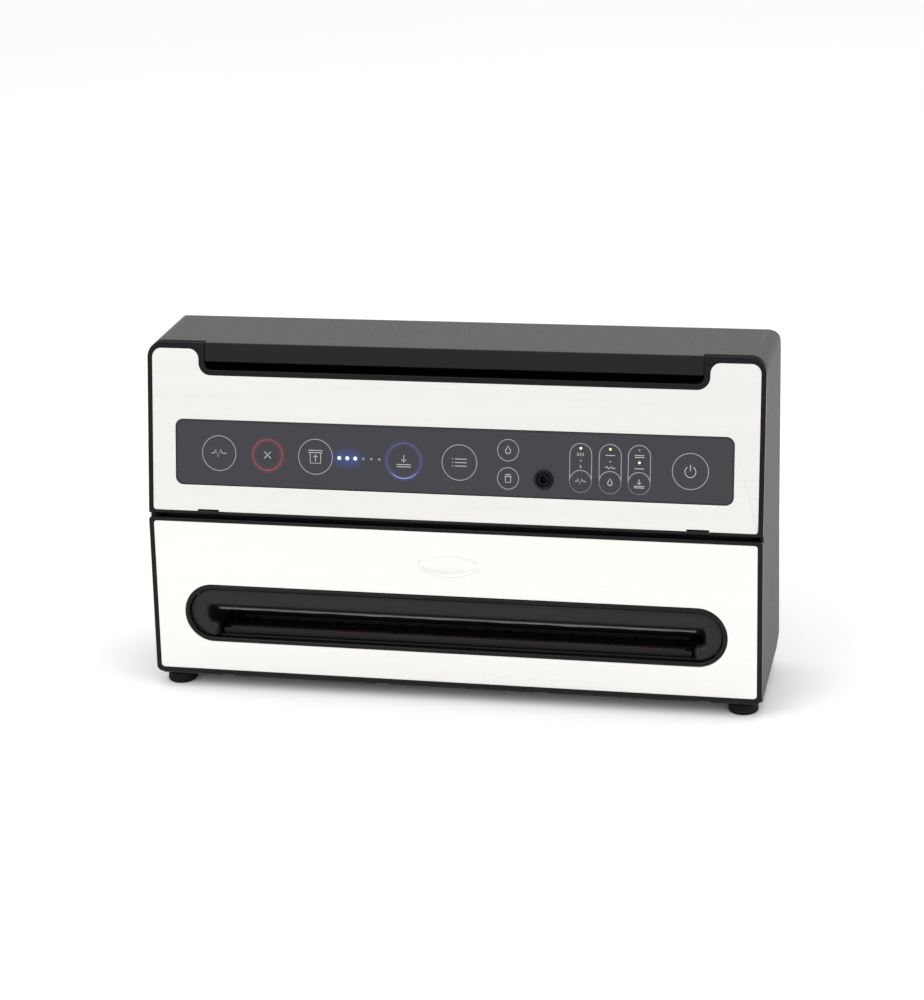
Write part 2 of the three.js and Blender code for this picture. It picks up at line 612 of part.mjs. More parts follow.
// ---------------------------------------------------------------- door
// outline with the finger recess in its top edge; sides are mirror images of each other
function doorOutline(half, bottom, top, notchHalf, notchBottom, radii) {
  const { corner, foot: footRadius, ear, dip } = radii;
  const shape = new THREE.Shape();
  shape.moveTo(-half + footRadius, bottom);
  shape.lineTo(half - footRadius, bottom);
  shape.absarc(half - footRadius, bottom + footRadius, footRadius, -Math.PI / 2, 0);
  shape.lineTo(half, top - corner);
  shape.absarc(half - corner, top - corner, corner, 0, Math.PI / 2);
  shape.lineTo(notchHalf + ear, top);
  shape.absarc(notchHalf + ear, top - ear, ear, Math.PI / 2, Math.PI);
  shape.lineTo(notchHalf, notchBottom + dip);
  shape.absarc(notchHalf - dip, notchBottom + dip, dip, 0, -Math.PI / 2, true);
  shape.lineTo(-notchHalf + dip, notchBottom);
  shape.absarc(-notchHalf + dip, notchBottom + dip, dip, -Math.PI / 2, -Math.PI, true);
  shape.lineTo(-notchHalf, top - ear);
  shape.absarc(-notchHalf - ear, top - ear, ear, 0, Math.PI / 2);
  shape.lineTo(-half + corner, top);
  shape.absarc(-half + corner, top - corner, corner, Math.PI / 2, Math.PI);
  shape.lineTo(-half, bottom + footRadius);
  shape.absarc(-half + footRadius, bottom + footRadius, footRadius, Math.PI, Math.PI * 1.5);
  return shape;
}

function steelOutline(shrink) {
  return doorOutline(STEEL_HALF_WIDTH - shrink, UPPER_STEEL_BOTTOM + shrink, UPPER_STEEL_TOP - shrink,
    RECESS_STEEL_HALF_WIDTH + shrink, RECESS_STEEL - shrink, { corner: 6, foot: 2, ear: 6.5, dip: 8 });
}

function membraneOutline(grow) {
  const { bottom, top, radius } = MEMBRANE;
  const half = MEMBRANE.halfWidth + grow;
  return roundedRectangle(-half, half, bottom - grow, top + grow, radius + grow);
}

// the frame's bottom edge is a half round about the hinge axis, so it turns without sweeping anything
function doorBezel() {
  const outline = doorOutline(HALF_WIDTH, DOOR_BOTTOM, DOOR_TOP, RECESS_HALF_WIDTH, RECESS_BEZEL,
    { corner: TOP_SIDE_RADIUS, foot: 0.6, ear: 0.6, dip: 4.5 });
  const round = BEZEL_DEPTH / 2;
  const sideView = new THREE.Shape();
  sideView.moveTo(BEZEL_DEPTH, HINGE.z);
  sideView.lineTo(BEZEL_DEPTH, 130);
  sideView.lineTo(0, 130);
  sideView.lineTo(0, HINGE.z);
  sideView.absarc(HINGE.y, HINGE.z, round, Math.PI, Math.PI * 2);
  let bezel = alongY(outline, 0, BEZEL_DEPTH, 6).intersect(alongX(sideView, -210, 210, 12));
  bezel = bezel.subtract(alongY(steelOutline(0), -1, POCKET, 6));
  bezel = bezel.subtract(cylinderAlongY(PORT.x, PORT.z, PORT.radius + 0.4, -1, 5, 28));
  for (const side of [-1, 1]) {
    const [x0, x1] = side < 0 ? [-HINGE.outer, -HINGE.inner] : [HINGE.inner, HINGE.outer];
    bezel = bezel.subtract(box(x0, x1, -1, 5, 0, HINGE.z + 2));
    bezel = bezel.subtract(cylinderAlongX(HINGE.y, HINGE.z, HINGE.pin + 0.15, x0 - 9, x1 + 9, 16));
  }
  return bezel;
}

function upperPanel() {
  let sheet = alongY(steelOutline(GAP / 2), STEEL_FRONT, STEEL_BACK, 6);
  for (const side of [-1, 1]) {
    const middle = side * (HINGE.inner + HINGE.outer) / 2;
    sheet = sheet.subtract(box(middle - 7, middle + 7, -1, 3, 0, HINGE.z + 2));
  }
  return sheet.subtract(alongY(membraneOutline(GAP), -1, 3, 6));
}

function controlMembrane() {
  return alongY(membraneOutline(0), 0.4, 1.1, 6)
    .subtract(cylinderAlongY(PORT.x, PORT.z, PORT.radius + GAP, -1, 3, 28));
}

function accessoryPort() {
  return cylinderAlongY(PORT.x, PORT.z, PORT.radius, -0.8, 9, 28)
    .subtract(cylinderAlongY(PORT.x, PORT.z, 2.4, -2, 7.5, 20));
}

const LINER = { halfWidth: 186, bottom: 13, top: 93.5, back: 11.6, wall: 2 };

function doorLiner() {
  const { halfWidth, bottom, top, back, wall } = LINER;
  return alongY(roundedRectangle(-halfWidth, halfWidth, bottom, top, 4), back - wall, back, 4);
}

// the wall between the liner and the bezel, round the control board
function linerRim() {
  const { halfWidth, bottom, top, back, wall } = LINER;
  const inner = halfWidth - wall;
  const block = alongY(roundedRectangle(-halfWidth, halfWidth, bottom, top, 4), SEAM, back - wall - GAP, 4);
  return block.subtract(alongY(roundedRectangle(-inner, inner, bottom + wall, top - wall, 2), 0, back, 4));
}

function hingeKnuckle(side) {
  const [x0, x1] = side < 0 ? [-HINGE.outer, -HINGE.inner] : [HINGE.inner, HINGE.outer];
  const knuckle = cylinderAlongX(HINGE.y, HINGE.z, 1.6, x0 + GAP, x1 - GAP, 24);
  const arm = box(x0 + GAP, x1 - GAP, HINGE.y, 23, 4.9, 6.2);
  return knuckle.add(arm)
    .subtract(cylinderAlongX(HINGE.y, HINGE.z, HINGE.pin + 0.05, x0 - 1, x1 + 1, 16));
}

function hingePin(side) {
  const [x0, x1] = side < 0 ? [-HINGE.outer, -HINGE.inner] : [HINGE.inner, HINGE.outer];
  return cylinderAlongX(HINGE.y, HINGE.z, HINGE.pin - 0.05, x0 - 8, x1 + 8, 16);
}

function doorPieces() {
  add(upper, 'door_bezel', doorBezel(), GLOSS_BLACK);
  add(upper, 'upper_panel', upperPanel(), STEEL);
  add(upper, 'control_membrane', controlMembrane(), GREY_FOIL);
  add(upper, 'accessory_port', accessoryPort(), GLOSS_BLACK);
  add(upper, 'door_liner', doorLiner(), DARK_PLASTIC);
  add(upper, 'door_liner_rim', linerRim(), DARK_PLASTIC);
  add(upper, 'control_board', box(-172, 40, 6, 7.6, 20, 70), BOARD);
  const rail = box(-190, 190, 14, 24, -2, 4.5).add(box(-190, 190, 23.4, 26, -2, 15));
  add(upper, 'cross_rail', rail, DARK_PLASTIC);
  for (const [side, name] of [[-1, 'left'], [1, 'right']]) {
    const middle = side * 173;
    add(upper, `hinge_knuckle_${name}`, hingeKnuckle(side), GLOSS_BLACK);
    add(upper, `hinge_pin_${name}`, hingePin(side), ZINC);
    add(upper, `door_magnet_${name}`, box(middle - 7, middle + 7, LINER.back + GAP, 14.6, 82, 91), ZINC);
    add(upper, `catch_plate_${name}`, box(middle - 8, middle + 8, 15, 16.2, 80, 93), ZINC);
  }
}

function rollPieces() {
  add(sealer, 'roll_compartment', rollCompartment(), DARK_PLASTIC);
  add(sealer, 'cutter_bar', cutterBar(), DARK_PLASTIC);
  add(sealer, 'cutter_knob', cutterKnob(), SILICONE);
}

shellPieces();
lowerFront();
jawDrive();
innerWorks();
rollPieces();
doorPieces();

export default sealer;
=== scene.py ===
# %% [markdown]
# # An upright vacuum sealer, dressed around its CAD frame
# The CAD model already has every piece at its size and in its place.
# This file gives each visible piece the edges, the surface and the small detail that the eye
# expects of it: rounded moulding edges, brushed steel, printed key symbols, screws, ribs and
# rubber feet. Lengths are given in millimetres and turned to metres, in the CAD model's own frame.
# The rear and the inside follow what such machines usually have.

# %% Load the frame
import math

import bmesh
import bpy
from mathutils import Matrix, Vector


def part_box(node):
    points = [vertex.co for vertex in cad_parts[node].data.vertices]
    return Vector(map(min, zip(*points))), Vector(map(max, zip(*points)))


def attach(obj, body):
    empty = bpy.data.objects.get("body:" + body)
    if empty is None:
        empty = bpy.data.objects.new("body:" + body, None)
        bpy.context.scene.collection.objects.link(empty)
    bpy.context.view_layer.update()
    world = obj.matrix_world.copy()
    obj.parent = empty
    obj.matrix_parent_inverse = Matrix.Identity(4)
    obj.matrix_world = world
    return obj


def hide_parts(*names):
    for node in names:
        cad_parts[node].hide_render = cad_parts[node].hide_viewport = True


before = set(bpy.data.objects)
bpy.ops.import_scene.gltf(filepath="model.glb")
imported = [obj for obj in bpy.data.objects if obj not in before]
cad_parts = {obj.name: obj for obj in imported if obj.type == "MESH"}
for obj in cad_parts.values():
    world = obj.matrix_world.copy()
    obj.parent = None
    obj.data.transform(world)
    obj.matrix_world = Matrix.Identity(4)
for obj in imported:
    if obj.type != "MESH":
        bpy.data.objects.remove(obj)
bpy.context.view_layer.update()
MM = 0.001

# %% [markdown]
# ## Two leaning fronts
# The upper front leans back by 13 degrees and the lower one by 5.7, and they meet at a shallow
# bend. Pieces that lie on a front are simplest to draw flat: x across, y into the body, z along
# the front. One matrix for each front then takes them to their place.

# %% The leaning frames
BEND = Vector((0, -43.1, 111.0)) * MM
UPPER_LEAN = 13.0
LOWER_LEAN = 5.7


def leaning(degrees):
    return Matrix.Translation(BEND) @ Matrix.Rotation(math.radians(-degrees), 4, "X")


UPPER = leaning(UPPER_LEAN)
LOWER = leaning(LOWER_LEAN)

# %% [markdown]
# ## Camera
# A long lens from a little to the right and above, so that both fronts, the top and one side show
# and upright edges stay nearly upright. Its place is given in the upper front's frame, because
# that is the face it looks at most squarely.

# %% Camera
AZIMUTH, ELEVATION, ROLL = (math.radians(a) for a in (13.3565, 8.1999, 0.3568))
CAMERA_PLACE, LENS, FILM_WIDTH = (388.5, -1597.9, 257.7), 96.04, 36
back = Vector((math.sin(AZIMUTH) * math.cos(ELEVATION), -math.cos(AZIMUTH) * math.cos(ELEVATION),
               math.sin(ELEVATION)))
level_right = Vector((math.cos(AZIMUTH), math.sin(AZIMUTH), 0))
level_up = back.cross(level_right)
right = math.cos(ROLL) * level_right + math.sin(ROLL) * level_up
up = math.cos(ROLL) * level_up - math.sin(ROLL) * level_right
aim = Matrix((right, up, back)).transposed().to_4x4()
aim.translation = Vector(CAMERA_PLACE) * MM
camera_data = bpy.data.cameras.new("camera")
camera_data.lens = LENS
camera_data.sensor_width = FILM_WIDTH
camera = bpy.data.objects.new("camera", camera_data)
bpy.context.scene.collection.objects.link(camera)
camera.matrix_world = UPPER @ aim
bpy.context.scene.camera = camera
print("camera at", [round(v, 3) for v in camera.matrix_world.translation])

# %% [markdown]
# ## Nodes and colours
# Colours are given as the hex values a designer would read off a swatch. Blender's shaders work
# in linear light, so one function converts them. One more function adds a node: its settings go
# on the node, and its links go on the inputs, either as plain values or as another node's output.

# %% Colour and node helpers


def linear(hex_colour):
    channels = (int(hex_colour[i:i + 2], 16) / 255 for i in (1, 3, 5))
    return tuple(c / 12.92 if c <= 0.04045 else ((c + 0.055) / 1.055) ** 2.4 for c in channels) + (1.0,)


def add_node(tree, kind, settings=None, links=None):
    node = tree.nodes.new(kind)
    for name, value in (settings or {}).items():
        setattr(node, name, value)
    for key, value in (links or {}).items():
        socket = node.inputs[key]
        if isinstance(value, bpy.types.NodeSocket):
            tree.links.new(value, socket)
        else:
            socket.default_value = value
    return node


def material(name, recipe):
    """A material from a recipe: a function that adds nodes and returns the shader's inputs."""
    made = bpy.data.materials.new(name)
    made.use_nodes = True
    tree = made.node_tree
    tree.nodes.clear()
    shader = add_node(tree, "ShaderNodeBsdfPrincipled", links=recipe(tree))
    add_node(tree, "ShaderNodeOutputMaterial", links={"Surface": shader.outputs["BSDF"]})
    return made


# %% [markdown]
# ## Patterns that several finishes share
# A noise texture makes one blob for about each unit of its scale, so a grain of so many
# millimetres is a scale of 1000 / millimetres on coordinates in metres. Object coordinates ride
# with the piece, so the grain never slides over it.

# %% Grain, streaks and soft variation


def grain(tree, size_mm, stretch=(1, 1, 1), detail=2.0, roughness=0.5):
    """Noise with features of size_mm, drawn out along the axes by stretch. Gives its factor."""
    place = add_node(tree, "ShaderNodeTexCoord").outputs["Object"]
    scaled = add_node(tree, "ShaderNodeMapping",
                      links={"Vector": place, "Scale": tuple(1000 / (size_mm * s) for s in stretch)})
    noise = add_node(tree, "ShaderNodeTexNoise",
                     links={"Vector": scaled.outputs["Vector"], "Scale": 1.0, "Detail": detail,
                            "Roughness": roughness})
    return noise.outputs["Fac"]


def bump(tree, height, depth_mm):
    links = {"Height": height, "Distance": depth_mm * MM, "Strength": 1.0}
    return add_node(tree, "ShaderNodeBump", links=links).outputs["Normal"]


def spread(tree, factor, low, high):
    """Turns a factor of 0.3 to 0.7, which is most of a noise, into a value from low to high."""
    node = add_node(tree, "ShaderNodeMapRange",
                    links={"Value": factor, "From Min": 0.3, "From Max": 0.7, "To Min": low, "To Max": high})
    return node.outputs["Result"]


def blend_colours(tree, factor, first, second):
    """first and second are hex colours or colour outputs."""
    mix = add_node(tree, "ShaderNodeMix", {"data_type": "RGBA"})
    mix.inputs["Factor"].default_value = 0.5
    tree.links.new(factor, mix.inputs["Factor"])
    for socket, colour in ((mix.inputs[6], first), (mix.inputs[7], second)):
        if isinstance(colour, str):
            socket.default_value = linear(colour)
        else:
            tree.links.new(colour, socket)
    return mix.outputs[2]


# %% [markdown]
# ## Plastics
# Three mouldings make up most of the machine. The casing is ABS from a spark-eroded mould, which
# leaves a fine matt grain. The casing is one grey plastic all over; its faces that look forward are
# darkened to near black as painted shade, standing in for the shade they fall in under light from
# above, so that the front edge reads as one with the frames. A mask on the surface's own direction
# keeps the painted shade to what faces forward. The frames are ABS from a polished mould, near black
# and glossy, with the slight waviness that all polished mouldings show. The inner pieces are ABS
# from a plain mould: satin, a little uneven in gloss.

# %% Plastics


def textured_abs(tree):
    # real grain is 0.15 mm; it is drawn at 0.6 mm so that it shows at all
    fine = grain(tree, 0.6, detail=3)
    wide = grain(tree, 60)
    return {"Base Color": blend_colours(tree, wide, "#484745", "#4c4b49"),
            "Roughness": spread(tree, grain(tree, 1.4), 0.5, 0.62), "IOR": 1.54,
            "Specular IOR Level": 0.45, "Normal": bump(tree, fine, 0.035)}


def polished_abs(tree):
    # the ripple of a polished mould is some 12 mm long and a few hundredths deep
    ripple = grain(tree, 12)
    smudge = grain(tree, 25, detail=4)
    return {"Base Color": blend_colours(tree, smudge, "#09090b", "#0e0e10"),
            "Roughness": spread(tree, smudge, 0.16, 0.26), "IOR": 1.54,
            "Specular IOR Level": 0.16, "Normal": bump(tree, ripple, 0.03)}


def satin_abs(tree):
    grit = grain(tree, 0.5, detail=3)
    patches = grain(tree, 18, detail=3)
    return {"Base Color": blend_colours(tree, patches, "#0e0e10", "#131315"),
            "Roughness": spread(tree, patches, 0.36, 0.46), "IOR": 1.54,
            "Specular IOR Level": 0.28, "Normal": bump(tree, grit, 0.015)}


def natural_nylon(tree):
    return {"Base Color": blend_colours(tree, grain(tree, 8), "#d6d1c3", "#dedace"),
            "Roughness": spread(tree, grain(tree, 2), 0.42, 0.55), "IOR": 1.53,
            "Subsurface Weight": 0.15, "Normal": bump(tree, grain(tree, 0.8), 0.01)}


def casing_abs_painted_front_shade(tree):
    """The casing's ABS with painted shade: blended to near black where the surface faces forward, and grey
    again as it turns away.
    """
    links = textured_abs(tree)
    direction = add_node(tree, "ShaderNodeTexCoord").outputs["Normal"]
    rearward = add_node(tree, "ShaderNodeSeparateXYZ", links={"Vector": direction}).outputs["Y"]
    # painted shade: forward-facing faces are darkened to near black, standing in for the shade they fall in
    black = add_node(tree, "ShaderNodeMapRange", {"interpolation_type": "SMOOTHSTEP"},
                     {"Value": rearward, "From Min": -0.15, "From Max": -0.75, "To Min": 0.0, "To Max": 1.0})
    links["Base Color"] = blend_colours(tree, black.outputs["Result"], links["Base Color"], "#060608")
    links["Specular IOR Level"] = 0.22
    return links


CASING_ABS = material("textured_casing_abs", textured_abs)
# the same casing ABS, with painted shade on the faces that look forward
CASING_WITH_PAINTED_FRONT_SHADE = material("casing_abs_with_painted_front_shade", casing_abs_painted_front_shade)
BLACK_ABS = material("polished_black_abs", polished_abs)
SATIN_ABS = material("satin_black_abs", satin_abs)
NYLON = material("natural_nylon", natural_nylon)

# %% [markdown]
# ## Metals
# The fronts are sheet stainless steel, brushed along their length. Brushing leaves hairline
# grooves a few hundredths of a millimetre apart and many centimetres long; here they are drawn
# 0.5 mm apart so that they show. Screws, hinge pins and inner works are zinc-plated steel, which
# is bluish with a cloudy gloss. The pins of the mains socket are nickel-plated.

# %% Metals


def brushed_stainless(tree):
    hairline = grain(tree, 0.5, stretch=(120, 1, 1), detail=3, roughness=0.6)
    broad = grain(tree, 6, stretch=(40, 1, 1), detail=2)
    return {"Base Color": blend_colours(tree, hairline, "#eae8e5", "#f1f0ec"), "Metallic": 1.0,
            "Roughness": spread(tree, broad, 0.27, 0.33), "Normal": bump(tree, hairline, 0.002)}


def zinc_plate(tree):
    cloud = grain(tree, 5, detail=4)
    return {"Base Color": blend_colours(tree, cloud, "#a2a6a9", "#b4b5b2"), "Metallic": 1.0,
            "Roughness": spread(tree, cloud, 0.28, 0.42), "Normal": bump(tree, grain(tree, 0.6), 0.006)}


def nickel_plate(tree):
    return {"Base Color": blend_colours(tree, grain(tree, 3), "#bdb8ad", "#c9c5bb"), "Metallic": 1.0,
            "Roughness": spread(tree, grain(tree, 1.5), 0.16, 0.24)}


def wound_copper(tree):
    # enamelled wire 0.5 mm thick, wound side by side along x
    place = add_node(tree, "ShaderNodeTexCoord").outputs["Object"]
    turns = add_node(tree, "ShaderNodeTexWave", {"bands_direction": "X"},
                     {"Vector": place, "Scale": 1000 / 0.5 / 20, "Distortion": 0.4})
    return {"Base Color": blend_colours(tree, turns.outputs["Fac"], "#6e3418", "#b8703e"), "Metallic": 1.0,
            "Roughness": spread(tree, grain(tree, 3), 0.28, 0.4),
            "Normal": bump(tree, turns.outputs["Fac"], 0.15)}


STEEL = material("brushed_stainless_steel", brushed_stainless)
ZINC = material("zinc_plated_steel", zinc_plate)
NICKEL = material("nickel_plate", nickel_plate)
COPPER = material("enamelled_copper_winding", wound_copper)

# %% [markdown]
# ## Rubber, silicone, tape and circuit board
# The feet are black rubber with a dusty, pitted skin. The sealing strip and gaskets are a brown-black
# silicone, soft enough to let a little light in. Coated glass cloth covers the heating wire, and
# its plain weave is drawn at 0.8 mm. The boards carry green lacquer over copper tracks.

# %% Soft finishes and boards


def moulded_rubber(tree):
    pits = grain(tree, 0.9, detail=4)
    return {"Base Color": blend_colours(tree, grain(tree, 4, detail=4), "#070707", "#0d0d0d"),
            "Roughness": spread(tree, pits, 0.7, 0.9), "IOR": 1.52, "Specular IOR Level": 0.2,
            "Normal": bump(tree, pits, 0.05)}


def silicone_rubber(tree):
    mottle = grain(tree, 6, detail=3)
    return {"Base Color": blend_colours(tree, mottle, "#231a1c", "#2e2325"),
            "Roughness": spread(tree, mottle, 0.5, 0.65), "IOR": 1.41, "Subsurface Weight": 0.1,
            "Normal": bump(tree, grain(tree, 0.7), 0.02)}


def glass_cloth_tape(tree):
    place = add_node(tree, "ShaderNodeTexCoord").outputs["Object"]
    threads = [add_node(tree, "ShaderNodeTexWave", {"bands_direction": axis},
                        {"Vector": place, "Scale": 1000 / 0.8 / 20}).outputs["Fac"] for axis in "XZ"]
    weave = add_node(tree, "ShaderNodeMath", {"operation": "MULTIPLY"}, {0: threads[0], 1: threads[1]})
    scorch = grain(tree, 30, detail=3)
    return {"Base Color": blend_colours(tree, scorch, "#5b5653", "#797370"),
            "Roughness": spread(tree, scorch, 0.42, 0.55), "IOR": 1.38,
            "Normal": bump(tree, weave.outputs["Value"], 0.05)}


def lacquered_board(tree):
    # tracks 1.2 mm apart under the lacquer
    place = add_node(tree, "ShaderNodeTexCoord").outputs["Object"]
    lanes = add_node(tree, "ShaderNodeTexBrick", {"offset": 0.35},
                     {"Vector": place, "Scale": 1000 / 6, "Mortar Size": 0.12, "Color1": linear("#2c5a38"),
                      "Color2": linear("#336542"), "Mortar": linear("#4f7f4a")})
    return {"Base Color": lanes.outputs["Color"], "Roughness": spread(tree, grain(tree, 9), 0.3, 0.45),
            "IOR": 1.5, "Normal": bump(tree, lanes.outputs["Fac"], 0.04)}


RUBBER = material("moulded_black_rubber", moulded_rubber)
SILICONE = material("dark_silicone_rubber", silicone_rubber)
TAPE = material("coated_glass_cloth_tape", glass_cloth_tape)
BOARD = material("lacquered_circuit_board", lacquered_board)

# %% [markdown]
# ## The control foil's finish
# The keys are a printed polyester foil over touch sensors. Lamps behind it shine through windows
# in the print and make the foil around them glow, because a little light leaks sideways. The glow
# is emission that fades with the distance to each lamp, measured on the foil itself: a Mapping
# node turns the piece's coordinates into x across the foil and z along it.

# %% Foil with its lamps' glow
FOIL_Y = 0.4
KEY_LARGE, KEY_RED, KEY_SMALL = 22.2, 19.4, 13.4
RED_KEY = (-117.4, 44.7)
BLUE_KEY = (-28.5, 44.2)
LAMP_START, LAMP_PITCH, LAMP_COUNT, LAMPS_LIT = (-70.3, 44.5), 5.2, 6, 3


def on_foil(tree):
    """The place on the foil: x across and z along, in metres."""
    turn = Matrix.Rotation(math.radians(UPPER_LEAN), 4, "X")
    place = add_node(tree, "ShaderNodeTexCoord").outputs["Object"]
    flat = add_node(tree, "ShaderNodeMapping", links={
        "Vector": place, "Rotation": (math.radians(UPPER_LEAN), 0, 0), "Location": -(turn @ BEND)})
    return flat.outputs["Vector"]


def distance_from(tree, point, centre, squeeze=1.0):
    """Distance in metres from a centre on the foil; squeeze under 1 draws the figure out along x."""
    offset = add_node(tree, "ShaderNodeVectorMath", {"operation": "SUBTRACT"},
                      {0: point, 1: (centre[0] * MM, FOIL_Y * MM, centre[1] * MM)}).outputs["Vector"]
    flat = add_node(tree, "ShaderNodeVectorMath", {"operation": "MULTIPLY"},
                    {0: offset, 1: (squeeze, 0, 1)}).outputs["Vector"]
    return add_node(tree, "ShaderNodeVectorMath", {"operation": "LENGTH"}, {0: flat}).outputs["Value"]


def faded(tree, distance, reach_mm, peak):
    return add_node(tree, "ShaderNodeMapRange", {"interpolation_type": "SMOOTHERSTEP"},
                    {"Value": distance, "From Min": 0.0, "From Max": reach_mm * MM, "To Min": peak,
                     "To Max": 0.0}).outputs["Result"]


def glow(tree, factor, colour, below):
    """Adds colour, by factor, to the glow below it."""
    mix = add_node(tree, "ShaderNodeMix", {"data_type": "RGBA", "blend_type": "ADD"})
    tree.links.new(factor, mix.inputs["Factor"])
    if below is None:
        mix.inputs[6].default_value = (0, 0, 0, 1)
    else:
        tree.links.new(below, mix.inputs[6])
    mix.inputs[7].default_value = linear(colour)
    return mix.outputs[2]


def printed_foil(tree):
    point = on_foil(tree)
    lit_middle = (LAMP_START[0] + LAMP_PITCH * (LAMPS_LIT - 1) / 2, LAMP_START[1])
    light = glow(tree, faded(tree, distance_from(tree, point, lit_middle, 0.62), 9.5, 0.5), "#1c3f9e", None)
    for centre, diameter, colour in ((RED_KEY, KEY_RED, "#8a3038"), (BLUE_KEY, KEY_LARGE, "#3c4694")):
        from_ring = add_node(tree, "ShaderNodeMath", {"operation": "SUBTRACT"},
                             {0: distance_from(tree, point, centre), 1: diameter / 2 * MM})
        near = add_node(tree, "ShaderNodeMath", {"operation": "ABSOLUTE"}, {0: from_ring.outputs["Value"]})
        light = glow(tree, faded(tree, near.outputs["Value"], 3.0, 0.2), colour, light)
    sheen = grain(tree, 40, detail=2)
    return {"Base Color": blend_colours(tree, sheen, "#303035", "#343439"),
            "Roughness": spread(tree, grain(tree, 3), 0.34, 0.4), "IOR": 1.57, "Specular IOR Level": 0.25,
            "Normal": bump(tree, grain(tree, 0.7), 0.006), "Emission Color": light, "Emission Strength": 1.0}


FOIL = material("printed_polyester_foil", printed_foil)

# %% [markdown]
# ## Inks and lamps
# Screen-printed ink is a thin raised film, a little uneven. A lit lamp looks nearly white whatever
# its colour, which shows only as a cloudy tint; a lamp that is off is just a pale window. The blue
# key's ring is lit from below, so its lower arc is the brightest.

# %% Ink and lamp finishes


def ink(colour, shade):
    def recipe(tree):
        return {"Base Color": blend_colours(tree, grain(tree, 1.2, detail=3), colour, shade),
                "Roughness": spread(tree, grain(tree, 2), 0.4, 0.5), "IOR": 1.5}
    return recipe


def lit_ring(colour, unlit, centre, diameter, low, high):
    """A lit line whose lower arc shines more than its upper one."""
    def recipe(tree):
        point = on_foil(tree)
        height = add_node(tree, "ShaderNodeSeparateXYZ", links={"Vector": point}).outputs["Z"]
        bottom = (centre[1] - diameter / 2) * MM
        rise = add_node(tree, "ShaderNodeMapRange", {"interpolation_type": "SMOOTHERSTEP"},
                        {"Value": height, "From Min": bottom, "From Max": bottom + diameter * 0.25 * MM,
                         "To Min": high, "To Max": low})
        light = glow(tree, rise.outputs["Result"], colour, None)
        return {"Base Color": linear(unlit), "Roughness": 0.4, "IOR": 1.5, "Emission Color": light,
                "Emission Strength": 1.0, "Normal": bump(tree, grain(tree, 1.0), 0.01)}
    return recipe


def lamp(core, rim, strength):
    def recipe(tree):
        return {"Base Color": linear(rim), "Roughness": 0.3, "IOR": 1.5,
                "Emission Color": blend_colours(tree, grain(tree, 1.5), core, rim),
                "Emission Strength": strength}
    return recipe


WHITE_INK = material("white_screen_ink", ink("#8c8c91", "#97979b"))
BRIGHT_INK = material("bright_screen_ink", ink("#adadb0", "#b9b9bc"))
RED_LINE = material("red_lit_line", lit_ring("#c0303a", "#5a3034", RED_KEY, KEY_RED, 0.3, 0.45))
BLUE_LINE = material("blue_lit_line", lit_ring("#a9b4ff", "#424474", BLUE_KEY, KEY_LARGE, 0.03, 0.6))
BLUE_LAMP = material("blue_lamp", lamp("#eef6ff", "#a8ccff", 1.1))
WARM_LAMP = material("warm_white_lamp", lamp("#f4f2cf", "#dcd9a8", 0.75))
DARK_LAMP = material("unlit_lamp_window", ink("#8c8f94", "#7b8288"))
BORDER_INK = material("black_screen_ink", ink("#09090a", "#0e0e10"))
print(len(bpy.data.materials), "materials")

# %% [markdown]
# ## Making and seating pieces
# Each new piece is a plain mesh that sits at the origin with its place in its vertices, like the
# CAD's own. `seat` gives it its finish, ties it to the CAD body that it moves with, and says which
# CAD nodes it stands for.


def link(name, mesh):
    piece = bpy.data.objects.new(name, mesh)
    bpy.context.scene.collection.objects.link(piece)
    return piece


def piece_from(name, build):
    """A piece whose mesh the function build draws into an empty bmesh."""
    mesh = bpy.data.meshes.new(name)
    drawing = bmesh.new()
    build(drawing)
    bmesh.ops.remove_doubles(drawing, verts=drawing.verts, dist=0.002 * MM)
    bmesh.ops.recalc_face_normals(drawing, faces=drawing.faces)
    drawing.to_mesh(mesh)
    drawing.free()
    return link(name, mesh)


def keep_result(piece):
    """Turns a piece with modifiers into the plain mesh that they make."""
    evaluated = piece.evaluated_get(bpy.context.evaluated_depsgraph_get())
    result = bpy.data.meshes.new_from_object(evaluated)
    piece.modifiers.clear()
    piece.data = result
    return piece


SHARP_ANGLE = 32


def rounded(piece, edge_mm, segments=3):
    """Rounds every edge sharper than SHARP_ANGLE, and keeps flat faces flat to the eye."""
    for face in piece.data.polygons:
        face.use_smooth = True
    bevel = piece.modifiers.new("edges", "BEVEL")
    bevel.width = edge_mm * MM
    bevel.segments = segments
    bevel.limit_method = "ANGLE"
    bevel.angle_limit = math.radians(SHARP_ANGLE)
    bevel.use_clamp_overlap = False
    weighted = piece.modifiers.new("flat_faces", "WEIGHTED_NORMAL")
    weighted.weight = 100
    return keep_result(piece)


def seat(piece, finish, body, *stands_for):
    piece.data.materials.clear()
    piece.data.materials.append(finish)
    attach(piece, body)
    if stands_for:
        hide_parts(*stands_for)
    print(f"{piece.name}: {len(piece.data.polygons)} faces on {body}")
    return piece


# %% [markdown]
# ## Moulded and pressed pieces
# The CAD solids have the right shape but knife-sharp edges, and no real moulding has those: the
# tool is radiused so that the part comes out of it. Redrawing each solid would risk its size, so
# a copy is taken, its triangles are merged back into flat faces, and only its edges are rounded,
# by what the process leaves: about 0.8 mm on the casing, 0.2 mm on a sheared steel sheet. Weighted
# normals then let the large flat faces decide the shading. The rear cover's wide face has rows of
# vents through it, and merged whole it shades badly, so cuts between the rows keep it in parts.
# The cutter's bar and the roll bay stay nearly sharp, because they pass each other closely.

# %% Round the CAD's edges


